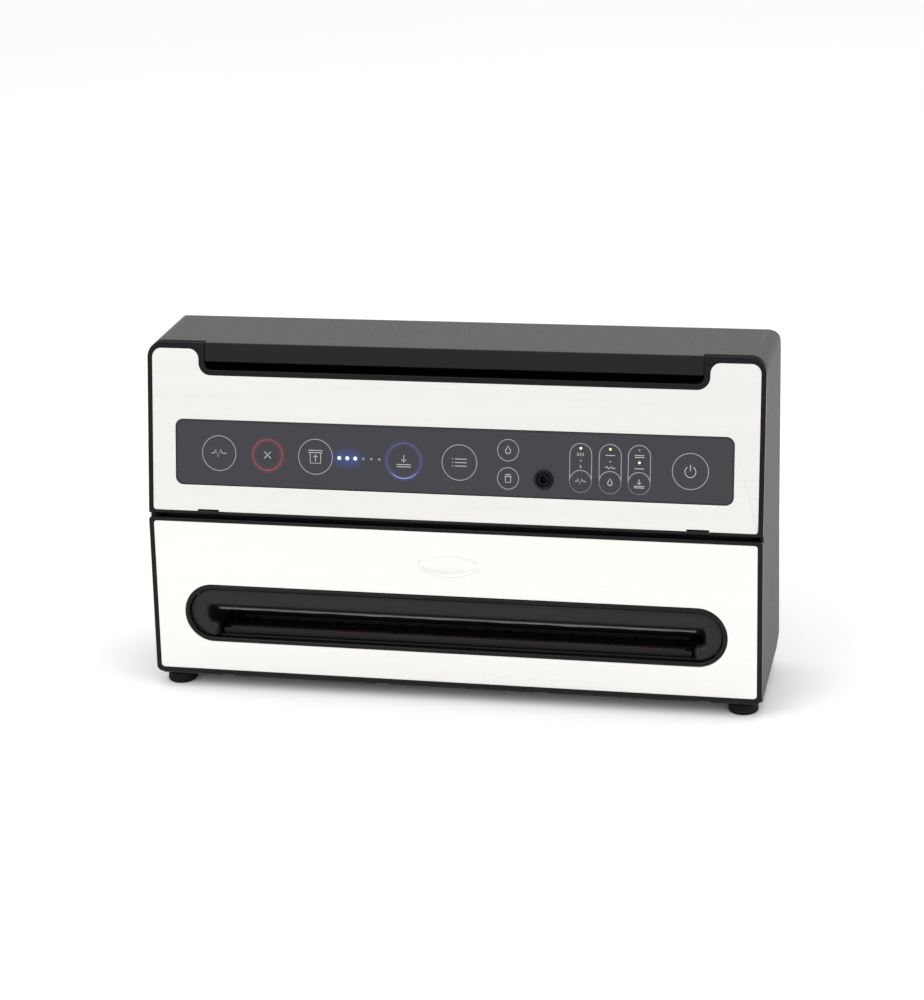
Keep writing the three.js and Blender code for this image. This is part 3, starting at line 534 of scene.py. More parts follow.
def softened(node, edge_mm, cuts=()):
    """The CAD's solid with its edges rounded. cuts keep a pierced face in parts, as (axis, mm)."""
    piece = link(node + "_piece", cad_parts[node].data.copy())
    merged = bmesh.new()
    merged.from_mesh(piece.data)
    bmesh.ops.remove_doubles(merged, verts=merged.verts, dist=0.004 * MM)
    for axis, place in cuts:
        across = Vector(axis)
        cut = bmesh.ops.bisect_plane(merged, geom=[*merged.verts, *merged.edges, *merged.faces],
                                     dist=0.001 * MM, plane_co=across * place * MM, plane_no=across)
        for part in cut["geom_cut"]:
            if isinstance(part, bmesh.types.BMEdge):
                part.seam = True
    bmesh.ops.dissolve_limit(merged, angle_limit=math.radians(0.6), verts=merged.verts, edges=merged.edges,
                             delimit={"SEAM"} if cuts else set())
    merged.to_mesh(piece.data)
    merged.free()
    return rounded(piece, edge_mm)


ACROSS, UPWARD = (1, 0, 0), (0, 0, 1)
PIERCED = {"rear_cover": ((UPWARD, 98.5), (UPWARD, 123.5), (ACROSS, -130), (ACROSS, -20), (ACROSS, 45),
                          (ACROSS, 170))}
SOFTENED = (
    ("outer_shell", 0.8, CASING_WITH_PAINTED_FRONT_SHADE, "chassis"),
    ("rear_cover", 0.5, CASING_ABS, "chassis"),
    ("base_plate", 0.5, SATIN_ABS, "chassis"),
    ("mains_inlet", 0.4, SATIN_ABS, "chassis"),
    ("lower_bezel", 0.5, BLACK_ABS, "chassis"),
    ("lower_panel", 0.2, STEEL, "chassis"),
    ("roll_compartment", 0.2, SATIN_ABS, "chassis"),
    ("cross_rail", 0.5, SATIN_ABS, "chassis"),
    ("chamber_bed", 0.5, SATIN_ABS, "chassis"),
    ("door_bezel", 0.5, BLACK_ABS, "door"),
    ("upper_panel", 0.2, STEEL, "door"),
    ("door_liner", 0.5, SATIN_ABS, "door"),
    ("drip_tray", 0.5, SATIN_ABS, "tray"),
    ("seal_backing", 0.4, SILICONE, "tray"),
    ("upper_jaw", 0.5, SATIN_ABS, "jaw"),
    ("upper_gasket", 0.8, SILICONE, "jaw"),
    ("cutter_bar", 0.2, SATIN_ABS, "cutter_bar"),
    ("cutter_knob", 0.6, SILICONE, "cutter_knob"),
)
for node, edge_mm, finish, body in SOFTENED:
    seat(softened(node, edge_mm, PIERCED.get(node, ())), finish, body, node)

# %% [markdown]
# ## The bag slot's rim
# The slot is a long stadium with a glossy ring round it. Inside the ring the moulding rolls
# smoothly into the mouth, so that a bag's edge slides in without catching, and at each end a lobe
# reaches in beside the drip tray. Both are lofts: closed outlines of the same number of points,
# each a little further in and at its own depth, skinned one to the next.

# %% Loft helpers
SLOT_Z, SLOT_RADIUS, SLOT_HALF = -60.6, 18.7, 175.3
RING_WIDTH = 2.8


def skin(drawing, loops):
    """Skins closed outlines of equal length, lists of points in metres. Gives their vertices."""
    rows = [[drawing.verts.new(point) for point in loop] for loop in loops]
    for low, high in zip(rows, rows[1:]):
        for i in range(len(low)):
            j = (i + 1) % len(low)
            drawing.faces.new((low[i], low[j], high[j], high[i]))
    return rows


def arc(centre, radius, start, end, steps):
    """Points on an arc in (x, z), degrees counted from +x towards +z."""
    angles = (math.radians(start + (end - start) * i / steps) for i in range(steps + 1))
    return [(centre[0] + radius * math.cos(a), centre[1] + radius * math.sin(a)) for a in angles]


def stadium(radius):
    straight = SLOT_HALF - SLOT_RADIUS
    return (arc((straight, SLOT_Z), radius, -90, 90, 40) + arc((-straight, SLOT_Z), radius, 90, 270, 40))


def at_depth(outline, depth):
    return [Vector((x, depth, z)) * MM for x, z in outline]


# %% Slot ring: a half-round bead
def slot_ring(drawing):
    inner, outer = SLOT_RADIUS - RING_WIDTH, SLOT_RADIUS
    section = [(outer, 3.0), (outer, 0.1), (outer - 0.2, -0.35), (outer - 0.6, -0.6), (outer - 1.3, -0.62),
               (outer - 1.9, -0.5), (inner + 0.35, -0.2), (inner + 0.05, 0.4), (inner, 1.2), (inner, 3.0)]
    loops = [at_depth(stadium(radius), depth) for radius, depth in section]
    skin(drawing, loops + [loops[0]])


def smooth_all(piece):
    for face in piece.data.polygons:
        face.use_smooth = True
    return piece


ring = smooth_all(piece_from("slot_ring_bead", slot_ring))
ring.data.transform(LOWER)
seat(ring, BLACK_ABS, "chassis", "slot_ring")

# %% Slot surround: rolls into the mouth
MOUTH_HALF, MOUTH_LOW_HALF, MOUTH_TOP, MOUTH_LEDGE = 160.5, 154.0, -57.5, -66.5
SURROUND_RADIUS = SLOT_RADIUS - RING_WIDTH - 0.3
ROLL_TALL, ROLL_DEEP, OVER_MOUTH = 4.0, 4.8, 2.1


def surround_outline():
    """The C-shaped face as (x, z, roll): roll is 0 on the outer edge, more on the mouth's edge."""
    straight = SLOT_HALF - SLOT_RADIUS
    bottom = SLOT_Z - SURROUND_RADIUS
    outer = (arc((straight, SLOT_Z), SURROUND_RADIUS, -90, 90, 30)
             + arc((-straight, SLOT_Z), SURROUND_RADIUS, 90, 270, 30))
    lobe_radius = 4.2
    valley = MOUTH_HALF - MOUTH_LOW_HALF - lobe_radius
    left = ([(-MOUTH_LOW_HALF, bottom), (-MOUTH_LOW_HALF, bottom + 4.5)]
            + arc((-MOUTH_LOW_HALF - lobe_radius, MOUTH_LEDGE - lobe_radius), lobe_radius, 0, 90, 8)
            + arc((-MOUTH_HALF + valley, MOUTH_LEDGE + valley), valley, 270, 180, 8)
            + arc((-MOUTH_HALF + 2.5, MOUTH_TOP - 2.5), 2.5, 180, 90, 8))
    right = [(-x, z) for x, z in reversed(left)]
    mouth = [(x, z, OVER_MOUTH if z > MOUTH_TOP - 0.6 else 1.0) for x, z in left + right]
    return [(x, z, 0.0) for x, z in outer] + mouth


def moved_in(outline, edge_mm, roll_mm):
    """Moves each point of a closed outline into the face: by edge_mm, or by roll_mm on the mouth."""
    count = len(outline)
    moved = []
    for i, (x, z, roll) in enumerate(outline):
        before, after = outline[i - 1], outline[(i + 1) % count]
        first = Vector((x - before[0], z - before[1]))
        second = Vector((after[0] - x, after[1] - z))
        first.normalize()
        second.normalize()
        first_in, second_in = Vector((-first.y, first.x)), Vector((-second.y, second.x))
        middle = first_in + second_in
        middle.normalize()
        reach = (roll_mm * roll if roll else edge_mm) / max(middle.dot(first_in), 0.5)
        moved.append((x + middle.x * reach, z + middle.y * reach))
    return moved


def slot_surround(drawing):
    outline = surround_outline()
    # outer edge: how far in and how deep; mouth's edge: the same
    rows = [(0.0, 5.6, 0.0, 6.7), (0.0, 2.1, 0.0, 6.6), (0.15, 1.75, 0.0, 6.5), (0.4, 1.6, 0.0, 6.4)]
    steps = 7
    for k in range(1, steps + 1):
        turn = math.pi / 2 * k / steps
        rows.append((0.4, 1.6, ROLL_TALL * (1 - math.cos(turn)), 1.6 + ROLL_DEEP * (1 - math.sin(turn))))
    loops = []
    for edge_in, edge_depth, roll_in, roll_depth in rows:
        moved = moved_in(outline, edge_in, roll_in)
        loops.append([Vector((x, roll_depth if roll else edge_depth, z)) * MM
                      for (x, z), (_, _, roll) in zip(moved, outline)])
    rows_made = skin(drawing, loops)
    drawing.faces.new(rows_made[-1])
    drawing.faces.new(rows_made[0])


surround = piece_from("slot_surround_roll", slot_surround)
surround.data.transform(LOWER)
smooth_all(surround)
surround.data.set_sharp_from_angle(angle=math.radians(50))
seat(surround, SATIN_ABS, "chassis", "slot_surround")

# %% [markdown]
# ## Rows and outlines grown by Geometry Nodes
# Screws, vents, ribs and lamps are each one shape set down many times, and the printed symbols are
# lines of one width along a path. Both are rules, so two small node trees make them: one sets a
# shape on every point it is given, the other turns edges into a printed line.

# %% Node tree helpers


def new_tree(name, inputs):
    """A geometry tree with named inputs, given as {name: (socket kind, default or None)}."""
    tree = bpy.data.node_groups.new(name, "GeometryNodeTree")
    tree.interface.new_socket("Geometry", in_out="INPUT", socket_type="NodeSocketGeometry")
    for label, (kind, default) in inputs.items():
        socket = tree.interface.new_socket(label, in_out="INPUT", socket_type=kind)
        if default is not None:
            socket.default_value = default
    tree.interface.new_socket("Geometry", in_out="OUTPUT", socket_type="NodeSocketGeometry")
    return tree


def grow(piece, tree, values):
    """Runs a tree on a piece, with its inputs set by name, and keeps the plain mesh it makes."""
    modifier = piece.modifiers.new(tree.name, "NODES")
    modifier.node_group = tree
    for item in tree.interface.items_tree:
        if item.item_type == "SOCKET" and item.in_out == "INPUT" and item.name in values:
            modifier[item.identifier] = values[item.name]
    return keep_result(piece)


# %% Tree one: a shape on every point
shape_tree = new_tree("shape_on_points", {"Shape": ("NodeSocketObject", None),
                                          "Finish": ("NodeSocketMaterial", None)})
given = add_node(shape_tree, "NodeGroupInput")
shape = add_node(shape_tree, "GeometryNodeObjectInfo", links={"Object": given.outputs["Shape"]})
placed = add_node(shape_tree, "GeometryNodeInstanceOnPoints",
                  links={"Points": given.outputs["Geometry"], "Instance": shape.outputs["Geometry"]})
real = add_node(shape_tree, "GeometryNodeRealizeInstances", links={"Geometry": placed.outputs["Instances"]})
painted = add_node(shape_tree, "GeometryNodeSetMaterial",
                   links={"Geometry": real.outputs["Geometry"], "Material": given.outputs["Finish"]})
add_node(shape_tree, "NodeGroupOutput", links={"Geometry": painted.outputs["Geometry"]})

# %% Tree two: a printed line along edges
line_tree = new_tree("printed_line", {"Width": ("NodeSocketFloat", 0.0005),
                                      "Thickness": ("NodeSocketFloat", 0.00006),
                                      "Finish": ("NodeSocketMaterial", None)})
given = add_node(line_tree, "NodeGroupInput")
path = add_node(line_tree, "GeometryNodeMeshToCurve", links={"Mesh": given.outputs["Geometry"]})
flat = add_node(line_tree, "GeometryNodeSetCurveNormal", {"mode": "Z_UP"}, {"Curve": path.outputs["Curve"]})
strip = add_node(line_tree, "GeometryNodeCurvePrimitiveQuadrilateral",
                 links={"Width": given.outputs["Width"], "Height": given.outputs["Thickness"]})
swept = add_node(line_tree, "GeometryNodeCurveToMesh",
                 links={"Curve": flat.outputs["Curve"], "Profile Curve": strip.outputs["Curve"],
                        "Fill Caps": True})
real = add_node(line_tree, "GeometryNodeRealizeInstances", links={"Geometry": swept.outputs["Mesh"]})
painted = add_node(line_tree, "GeometryNodeSetMaterial",
                   links={"Geometry": real.outputs["Geometry"], "Material": given.outputs["Finish"]})
add_node(line_tree, "NodeGroupOutput", links={"Geometry": painted.outputs["Geometry"]})

# %% Points and shapes for the trees


def points_piece(name, points):
    """A piece that is only points, given in mm."""
    mesh = bpy.data.meshes.new(name)
    mesh.from_pydata([Vector(p) * MM for p in points], [], [])
    return link(name, mesh)


def row(start, step, count):
    return [Vector(start) + Vector(step) * i for i in range(count)]


def set_on_points(name, points, shape_piece, finish, place=None):
    piece = grow(points_piece(name, points), shape_tree, {"Shape": shape_piece, "Finish": finish})
    if place is not None:
        piece.data.transform(place)
    bpy.data.objects.remove(shape_piece)
    return piece


def block(name, size_mm, edge_mm=0.3):
    """A bar of size_mm (x, y, z) with rounded edges, centred on the origin."""
    def build(drawing):
        bmesh.ops.create_cube(drawing, size=1.0, matrix=Matrix.Diagonal([*(Vector(size_mm) * MM), 1.0]))
    return rounded(piece_from(name, build), edge_mm, 2)


def turned(drawing, profile, centre=(0, 0, 0), steps=48):
    """Turns a profile of (radius, height) in mm round an axis along z through centre."""
    loops = []
    for radius, height in profile:
        loops.append([Vector((centre[0] + radius * math.cos(math.tau * i / steps),
                              centre[1] + radius * math.sin(math.tau * i / steps),
                              centre[2] + height)) * MM for i in range(steps)])
    rows_made = skin(drawing, loops)
    drawing.faces.new(rows_made[0])
    drawing.faces.new(rows_made[-1])


# %% [markdown]
# ## The key symbols
# The real foil says what each key does in words. Symbols do the same here: a pulse, a cross, a bag
# with an arrow, a seam, a list, a drop, a jar, and a ring for the power key. They are drawn flat
# as paths in millimetres from the middle of their key, and the line tree prints them.

# %% Paths of the rings and symbols


def circle(centre, diameter):
    steps = 72
    return arc(centre, diameter / 2, 0, 360 - 360 / steps, steps - 1), True


def pill(centre, width, height):
    half = (height - width) / 2
    return (arc((centre[0], centre[1] + half), width / 2, 0, 180, 24)
            + arc((centre[0], centre[1] - half), width / 2, 180, 360, 24)), True


def shifted(paths, centre, scale=1.0):
    return [([(centre[0] + x * scale, centre[1] + z * scale) for x, z in points], closed)
            for points, closed in paths]


PULSE = [([(-5, 0), (-3.2, 0), (-2.2, 2.4), (-0.7, -2.6), (0.9, 2.4), (2.1, 0), (5, 0)], False)]
CROSS = [([(-2.2, -2.2), (2.2, 2.2)], False), ([(-2.2, 2.2), (2.2, -2.2)], False)]
BAG = [([(-3.4, 2.2), (-3.4, -4), (3.4, -4), (3.4, 2.2)], False), ([(-4.6, 2.6), (4.6, 2.6)], False),
       ([(-4.6, 4.0), (4.6, 4.0)], False), ([(0, -2.8), (0, 1.0)], False),
       ([(-1.4, -0.3), (0, 1.1), (1.4, -0.3)], False)]
SEAM = [([(-4.6, -2.4), (4.6, -2.4)], False), ([(-4.6, -3.8), (4.6, -3.8)], False),
        ([(0, 3.6), (0, -0.7)], False), ([(-1.6, 0.9), (0, -0.8), (1.6, 0.9)], False)]
LIST = [([(x0, z), (x1, z)], False) for z in (2.2, 0, -2.2) for x0, x1 in ((-4.6, -3.9), (-2.8, 4.6))]
DROP = [([(0, 3.4), (1.4, 0.9)] + arc((0, -0.6), 2.0, 30, -210, 16)[1:-1] + [(-1.4, 0.9)], True)]
JAR = [([(-2.1, 1.4), (-2.1, -3), (2.1, -3), (2.1, 1.4)], False), ([(-2.7, 1.6), (2.7, 1.6)], False),
       ([(-2.2, 3.0), (2.2, 3.0)], False)]
POWER = [(arc((0, -0.3), 3.4, 122, 418, 32), False), ([(0, 0.2), (0, 4.2)], False)]
WAVE = [([(-3.0 + 6 * i / 20, 0.55 * math.sin(math.tau * i / 10)) for i in range(21)], False)]
DASH = [([(-3.0, 0), (3.0, 0)], False)]
TWO_DASHES = [([(-3.0, 0.6), (3.0, 0.6)], False), ([(-3.0, -0.6), (3.0, -0.6)], False)]
ARROWS = [([(-2.6 + k, 0.9), (-1.7 + k, 0), (-2.6 + k, -0.9)], False) for k in (0.4, 2.0, 3.6)]
ARROW = [([(-0.5, 0.9), (0.4, 0), (-0.5, -0.9)], False)]

LARGE_KEYS = {(-149.5, 44.8): PULSE, (-85.9, 44.7): BAG, (7.2, 44.4): LIST, (151.8, 44.1): POWER}
SMALL_KEYS = {(38.1, 53.2): DROP, (38.2, 35.6): JAR}
PILL_SIZE, PILL_KEY_Z, PILL_Z = (13.7, 30.4), 35.45, 43.8
PILLS = {83.8: (ARROWS, ARROW, PULSE), 102.2: (DASH, WAVE, DROP), 120.3: (TWO_DASHES, DASH, SEAM)}
UPPER_LAMP_Z, UPPER_WORD_Z, LOWER_LAMP_Z, LOWER_WORD_Z = 56.0, 52.2, 48.3, 44.6

rings = [circle(centre, KEY_LARGE) for centre in LARGE_KEYS]
rings += [circle(centre, KEY_SMALL) for centre in SMALL_KEYS]
symbols = shifted(CROSS, RED_KEY) + shifted(SEAM, BLUE_KEY)
for centre, symbol in LARGE_KEYS.items():
    symbols += shifted(symbol, centre)
for centre, symbol in SMALL_KEYS.items():
    symbols += shifted(symbol, centre, 0.8)
for x, (upper_word, lower_word, symbol) in PILLS.items():
    rings.append(pill((x, PILL_Z), *PILL_SIZE))
    rings.append(circle((x, PILL_KEY_Z), PILL_SIZE[0]))
    symbols += shifted(upper_word, (x, UPPER_WORD_Z)) + shifted(lower_word, (x, LOWER_WORD_Z))
    symbols += shifted(symbol, (x, PILL_KEY_Z), 0.7)
print(len(rings), "rings and", len(symbols), "symbol paths")

# %% Print them
PRINT_DEPTH = FOIL_Y - 0.02
FLAT_TO_FOIL = UPPER @ Matrix.Translation((0, PRINT_DEPTH * MM, 0)) @ Matrix.Rotation(math.pi / 2, 4, "X")


def printed(name, paths, width_mm, finish):
    points, edges = [], []
    for path_points, closed in paths:
        first = len(points)
        points += [Vector((x, z, 0)) * MM for x, z in path_points]
        edges += [(i, i + 1) for i in range(first, len(points) - 1)]
        if closed:
            edges.append((len(points) - 1, first))
    mesh = bpy.data.meshes.new(name)
    mesh.from_pydata(points, edges, [])
    piece = grow(link(name, mesh), line_tree, {"Width": width_mm * MM, "Finish": finish})
    piece.data.transform(FLAT_TO_FOIL)
    return seat(piece, finish, "door")


printed("key_rings_print", rings, 0.5, WHITE_INK)
printed("key_symbols_print", symbols, 0.45, BRIGHT_INK)
printed("red_key_ring_print", [circle(RED_KEY, KEY_RED)], 0.65, RED_LINE)
printed("blue_key_ring_print", [circle(BLUE_KEY, KEY_LARGE)], 0.6, BLUE_LINE)

# %% Dark line round the foil
FOIL_CORNER, LINE_INSET = 4.8, 0.45
LINE_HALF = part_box("control_membrane")[1].x / MM - LINE_INSET
LINE_BOTTOM, LINE_TOP = 24.2 + LINE_INSET, 65.7 - LINE_INSET
border = []
for side_x, z, start in ((1, LINE_BOTTOM + FOIL_CORNER, -90), (1, LINE_TOP - FOIL_CORNER, 0),
                         (-1, LINE_TOP - FOIL_CORNER, 90), (-1, LINE_BOTTOM + FOIL_CORNER, 180)):
    border += arc((side_x * (LINE_HALF - FOIL_CORNER), z), FOIL_CORNER, start, start + 90, 8)
printed("foil_border_print", [(border, True)], 0.8, BORDER_INK)

# %% [markdown]
# ## Lamps
# Each lamp is a small lens that stands a little proud of the foil: a shallow dome, wider when lit
# because its light fills the whole window. One dome is set on every lamp's point.

# %% Lamps


def dome(name, radius, rise):
    def build(drawing):
        profile = [(radius, 0.1), (radius, 0.0), (radius * 0.9, -rise * 0.55), (radius * 0.6, -rise * 0.85),
                   (radius * 0.25, -rise)]
        turned(drawing, profile, steps=20)
    piece = smooth_all(piece_from(name, build))
    piece.data.transform(Matrix.Rotation(-math.pi / 2, 4, "X"))
    return piece


def lamps(name, centres, radius, finish):
    points = [(x, FOIL_Y, z) for x, z in centres]
    piece = set_on_points(name, points, dome(name + "_lens", radius, 0.35), finish, place=UPPER)
    return seat(smooth_all(piece), finish, "door")


vacuum_lamps = [(LAMP_START[0] + LAMP_PITCH * i, LAMP_START[1]) for i in range(LAMP_COUNT)]
LIT_UPPER = {83.8: True, 102.2: True, 120.3: False}
warm = [(x, UPPER_LAMP_Z if upper_lit else LOWER_LAMP_Z) for x, upper_lit in LIT_UPPER.items()]
unlit = [(x, LOWER_LAMP_Z if upper_lit else UPPER_LAMP_Z) for x, upper_lit in LIT_UPPER.items()]
lamps("vacuum_lamps_lit", vacuum_lamps[:LAMPS_LIT], 1.2, BLUE_LAMP)
lamps("vacuum_lamps_unlit", vacuum_lamps[LAMPS_LIT:], 0.85, DARK_LAMP)
lamps("mode_lamps_lit", warm, 0.8, WARM_LAMP)
lamps("mode_lamps_unlit", unlit, 0.65, DARK_LAMP)

# %% [markdown]
# ## Accessory port
# A hose nozzle pushes into this socket. On the real one a black collar stands proud of the foil,
# and a thinner lip round the hole sits inside a groove, which catches the light as two rings.
# It is a turned part, so it is turned here: one profile, spun round its axis.

# %% Port
PORT_X, PORT_Z, PORT_RADIUS, PORT_BORE = 60.8, 35.6, 5.9, 2.4


def port(drawing):
    profile = [(PORT_RADIUS, 9.0), (PORT_RADIUS, -0.3), (PORT_RADIUS - 0.2, -0.65), (PORT_RADIUS - 0.6, -0.8),
               (PORT_RADIUS - 1.0, -0.75), (PORT_RADIUS - 1.3, -0.4), (4.3, 1.1), (4.0, 1.2), (3.8, 1.1),
               (3.6, 0.2), (3.4, -0.15), (3.0, -0.2), (2.7, -0.05), (PORT_BORE, 0.5), (PORT_BORE, 7.4)]
    turned(drawing, profile)


socket_piece = piece_from("accessory_port_turned", port)
socket_piece.data.transform(UPPER @ Matrix.Translation(Vector((PORT_X, 0, PORT_Z)) * MM)
                            @ Matrix.Rotation(-math.pi / 2, 4, "X"))
smooth_all(socket_piece)
socket_piece.data.set_sharp_from_angle(angle=math.radians(60))
seat(socket_piece, BLACK_ABS, "door", "accessory_port")

# %% [markdown]
# ## A pressed badge
# A maker presses a mark into the lower sheet. A plain lozenge with a raised rim stands in for it:
# the same sheet, so the same steel, half a millimetre proud.

# %% Badge
BADGE_HALF, BADGE_Z = (20.5, 8.0), -21.6
STEEL_FACE = 0.3


def badge(drawing):
    loops = []
    rim = ((1.0, 0.1), (0.985, -0.2), (0.95, -0.5), (0.90, -0.58), (0.85, -0.45), (0.81, -0.2),
           (0.78, -0.12))
    for share, depth in rim:
        loop = []
        for i in range(96):
            a = math.tau * i / 96
            pinch = abs(math.cos(a)) ** 1.35 * math.copysign(1, math.cos(a))
            loop.append(Vector((BADGE_HALF[0] * share * pinch, STEEL_FACE + depth,
                                BADGE_Z + BADGE_HALF[1] * share * math.sin(a))) * MM)
        loops.append(loop)
    rows_made = skin(drawing, loops)
    drawing.faces.new(rows_made[-1])
    drawing.faces.new(rows_made[0])


badge_piece = smooth_all(piece_from("pressed_badge", badge))
badge_piece.data.transform(LOWER)
seat(badge_piece, STEEL, "chassis")

# %% [markdown]
# ## Heating strip
# The wire that melts the bag lies under coated cloth tape, stretched over the jaw's lower edge.
# Tape never lies quite straight: it puckers where the wire's heat has shrunk it, and its edge
# shows as a fine wavy line in the mouth. A grid follows that rule, with a fixed sum of sines.

# %% Tape over the wire
STRIP_HALF, STRIP_TOP, STRIP_BOTTOM, STRIP_FRONT, STRIP_BACK = 155.0, -58.3, -60.1, 8.2, 12.6


def pucker(x):
    return (0.5 * math.sin(x / 7.1) + 0.3 * math.sin(x / 3.3 + 1.2) + 0.2 * math.sin(x / 17 + 0.6))


def heating_tape(drawing):
    loops = []
    steps = 310
    for i in range(steps + 1):
        x = -STRIP_HALF + 2 * STRIP_HALF * i / steps
        wave = pucker(x)
        low = STRIP_BOTTOM + 0.22 * wave
        section = [(STRIP_FRONT - 0.1, STRIP_TOP), (STRIP_FRONT - 0.12 - 0.1 * wave, low + 0.5),
                   (STRIP_FRONT + 0.1, low + 0.12), (STRIP_FRONT + 0.5, low), (10.4, low - 0.04),
                   (STRIP_BACK - 0.4, low), (STRIP_BACK, low + 0.4), (STRIP_BACK, STRIP_TOP)]
        loops.append([Vector((x, y, z)) * MM for y, z in section])
    rows_made = skin(drawing, loops)
    drawing.faces.new(rows_made[0])
    drawing.faces.new(rows_made[-1])


tape = smooth_all(piece_from("heating_tape", heating_tape))
tape.data.set_sharp_from_angle(angle=math.radians(50))
tape.data.transform(LOWER)
seat(tape, TAPE, "jaw", "heating_strip")

# %% [markdown]
# ## Feet and screws
# The feet are round mouldings, so each is one profile spun round its axis: a soft lip on the floor,
# a groove and a flange. The rear screws are pan heads with a cross recess, which starts as a
# circle of 24 points and becomes a cross of 24 points a little lower down.

# %% Feet
FOOT_NODES = ("foot_front_left", "foot_front_right", "foot_rear_left", "foot_rear_right")


def foot_shape(node):
    low, high = (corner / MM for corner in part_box(node))
    middle = (low + high) / 2
    radius, top = (high.x - low.x) / 2, high.z

    def build(drawing):
        profile = [(0.6, 0.5), (radius - 3.2, 0.5), (radius - 2.8, 0.1), (radius - 2.2, 0.0),
                   (radius - 1.2, 0.0),
                   (radius - 0.5, 0.25), (radius - 0.1, 0.8), (radius, 1.4), (radius - 0.15, top * 0.45),
                   (radius - 0.7, top * 0.52), (radius - 0.75, top * 0.62), (radius - 0.3, top * 0.7),
                   (radius - 0.2, top * 0.85), (radius - 0.8, top), (0.6, top)]
        turned(drawing, profile, (middle.x, middle.y, 0), 56)
    return build


for node in FOOT_NODES:
    seat(smooth_all(piece_from(node + "_turned", foot_shape(node))), RUBBER, "chassis", node)

# %% Rear screws
SCREW_NODES = ("rear_screw_1", "rear_screw_2", "rear_screw_3", "rear_screw_4")


def cross(scale, height):
    """24 points of a cross, in step with a circle's 24."""
    loop = []
    for i in range(24):
        a = math.tau * i / 24
        quarter = (i % 6) / 6
        reach = 2.0 if quarter in (0.0, 1 / 6, 5 / 6) else 0.62
        loop.append(Vector((scale * reach * math.cos(a), scale * reach * math.sin(a), height)) * MM)
    return loop


def pan_head(drawing):
    profile = [(3.4, 0.0), (3.4, 0.7), (3.1, 1.3), (2.6, 1.6), (2.3, 1.68)]
    loops = [[Vector((r * math.cos(math.tau * i / 24), r * math.sin(math.tau * i / 24), h)) * MM
              for i in range(24)] for r, h in profile]
    loops += [cross(1.0, 1.7), cross(0.85, 0.9), cross(0.3, 0.4)]
    rows_made = skin(drawing, loops)
    drawing.faces.new(rows_made[0])
    drawing.faces.new(rows_made[-1])


screw_points = []
for node in SCREW_NODES:
    low, high = (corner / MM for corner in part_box(node))
    screw_points.append(((low.x + high.x) / 2, high.y - 1.7, (low.z + high.z) / 2))
head = piece_from("pan_head", pan_head)
head.data.transform(Matrix.Rotation(-math.pi / 2, 4, "X"))
screws = set_on_points("rear_screws", screw_points, head, ZINC)
seat(screws, ZINC, "chassis", *SCREW_NODES)

# %% [markdown]
# ## The rear
# Cool air reaches the pump through two groups of slots. Their rims stand a little proud, which
# stiffens the thin wall between them. A blank rating plate sits lower down, and the mains socket
# has two pins.

# %% Vent rims
VENT_STARTS, VENT_PITCH, VENT_COUNT, VENT_HALF, VENT_BOTTOM, VENT_TOP = (-110, 60), 9, 9, 1.6, 100, 122
COVER_INSET = 0.6
REAR_WAIST, REAR_TOP = Vector((40.5, 96)), Vector((54.5, 223))


def rear_depth(z):
    """Depth of the rear cover's outer face at a height above its waist."""
    share = (z - REAR_WAIST.y) / (REAR_TOP.y - REAR_WAIST.y)
    return REAR_WAIST.x + (REAR_TOP.x - REAR_WAIST.x) * share - COVER_INSET


REAR_LEAN = math.atan2(REAR_TOP.x - REAR_WAIST.x, REAR_TOP.y - REAR_WAIST.y)


def vent_rim(drawing):
    half_height = (VENT_TOP - VENT_BOTTOM) / 2
    loops = []
    for grow_mm, rise in ((0.0, -0.3), (0.0, 0.25), (0.15, 0.4), (0.8, 0.4), (1.0, 0.2), (1.0, -0.3)):
        half_x, half_z = VENT_HALF + grow_mm, half_height + grow_mm
        radius = 0.4 + grow_mm
        outline = []
        for sx, sz, start in ((1, 1, 0), (-1, 1, 90), (-1, -1, 180), (1, -1, 270)):
            outline += arc((sx * (half_x - radius), sz * (half_z - radius)), radius, start, start + 90, 4)
        loops.append([Vector((x, rise, z)) * MM for x, z in outline])
    skin(drawing, loops + [loops[0]])


vent_middle = (VENT_TOP + VENT_BOTTOM) / 2
vent_points = []
for start in VENT_STARTS:
    vent_points += row((start, rear_depth(vent_middle), vent_middle), (VENT_PITCH, 0, 0), VENT_COUNT)
rim = piece_from("vent_rim", vent_rim)
rim.data.transform(Matrix.Rotation(-REAR_LEAN, 4, "X"))
vents = set_on_points("vent_rims", vent_points, rim, CASING_ABS)
seat(vents, CASING_ABS, "chassis")

# %% Rating plate, left blank
PLATE_PLACE, PLATE_LEAN = (-2, 38.4, 62), 2.76
plate = block("rating_plate", (64, 0.5, 30), 0.2)
plate.data.transform(Matrix.Translation(Vector(PLATE_PLACE) * MM)
                     @ Matrix.Rotation(math.radians(-PLATE_LEAN), 4, "X"))
seat(plate, ZINC, "chassis")

# %% Socket pins
PIN_X, PIN_Z, PIN_OFFSET = 150.0, 40.0, 4.3


def pins(drawing):
    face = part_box("mains_inlet")[1].y / MM
    for side in (-1, 1):
        profile = [(1.32, 0.0), (1.32, 11.2), (1.1, 11.8), (0.6, 12.15)]
        turned(drawing, profile, (PIN_X + side * PIN_OFFSET, -PIN_Z, face - 16), 20)


pin_piece = piece_from("socket_pins", pins)
pin_piece.data.transform(Matrix.Rotation(-math.pi / 2, 4, "X"))
seat(smooth_all(pin_piece), NICKEL, "chassis")

# %% [markdown]
# ## Ribs and grips
# Thin plastic walls stay flat because of ribs behind them. The door's liner has upright ribs, the
# drip tray has low ones that keep a bag off the spilt liquid, and the cutter's knob has grip
# ridges. The knob runs beside a thin plated rail on the cutter bar.

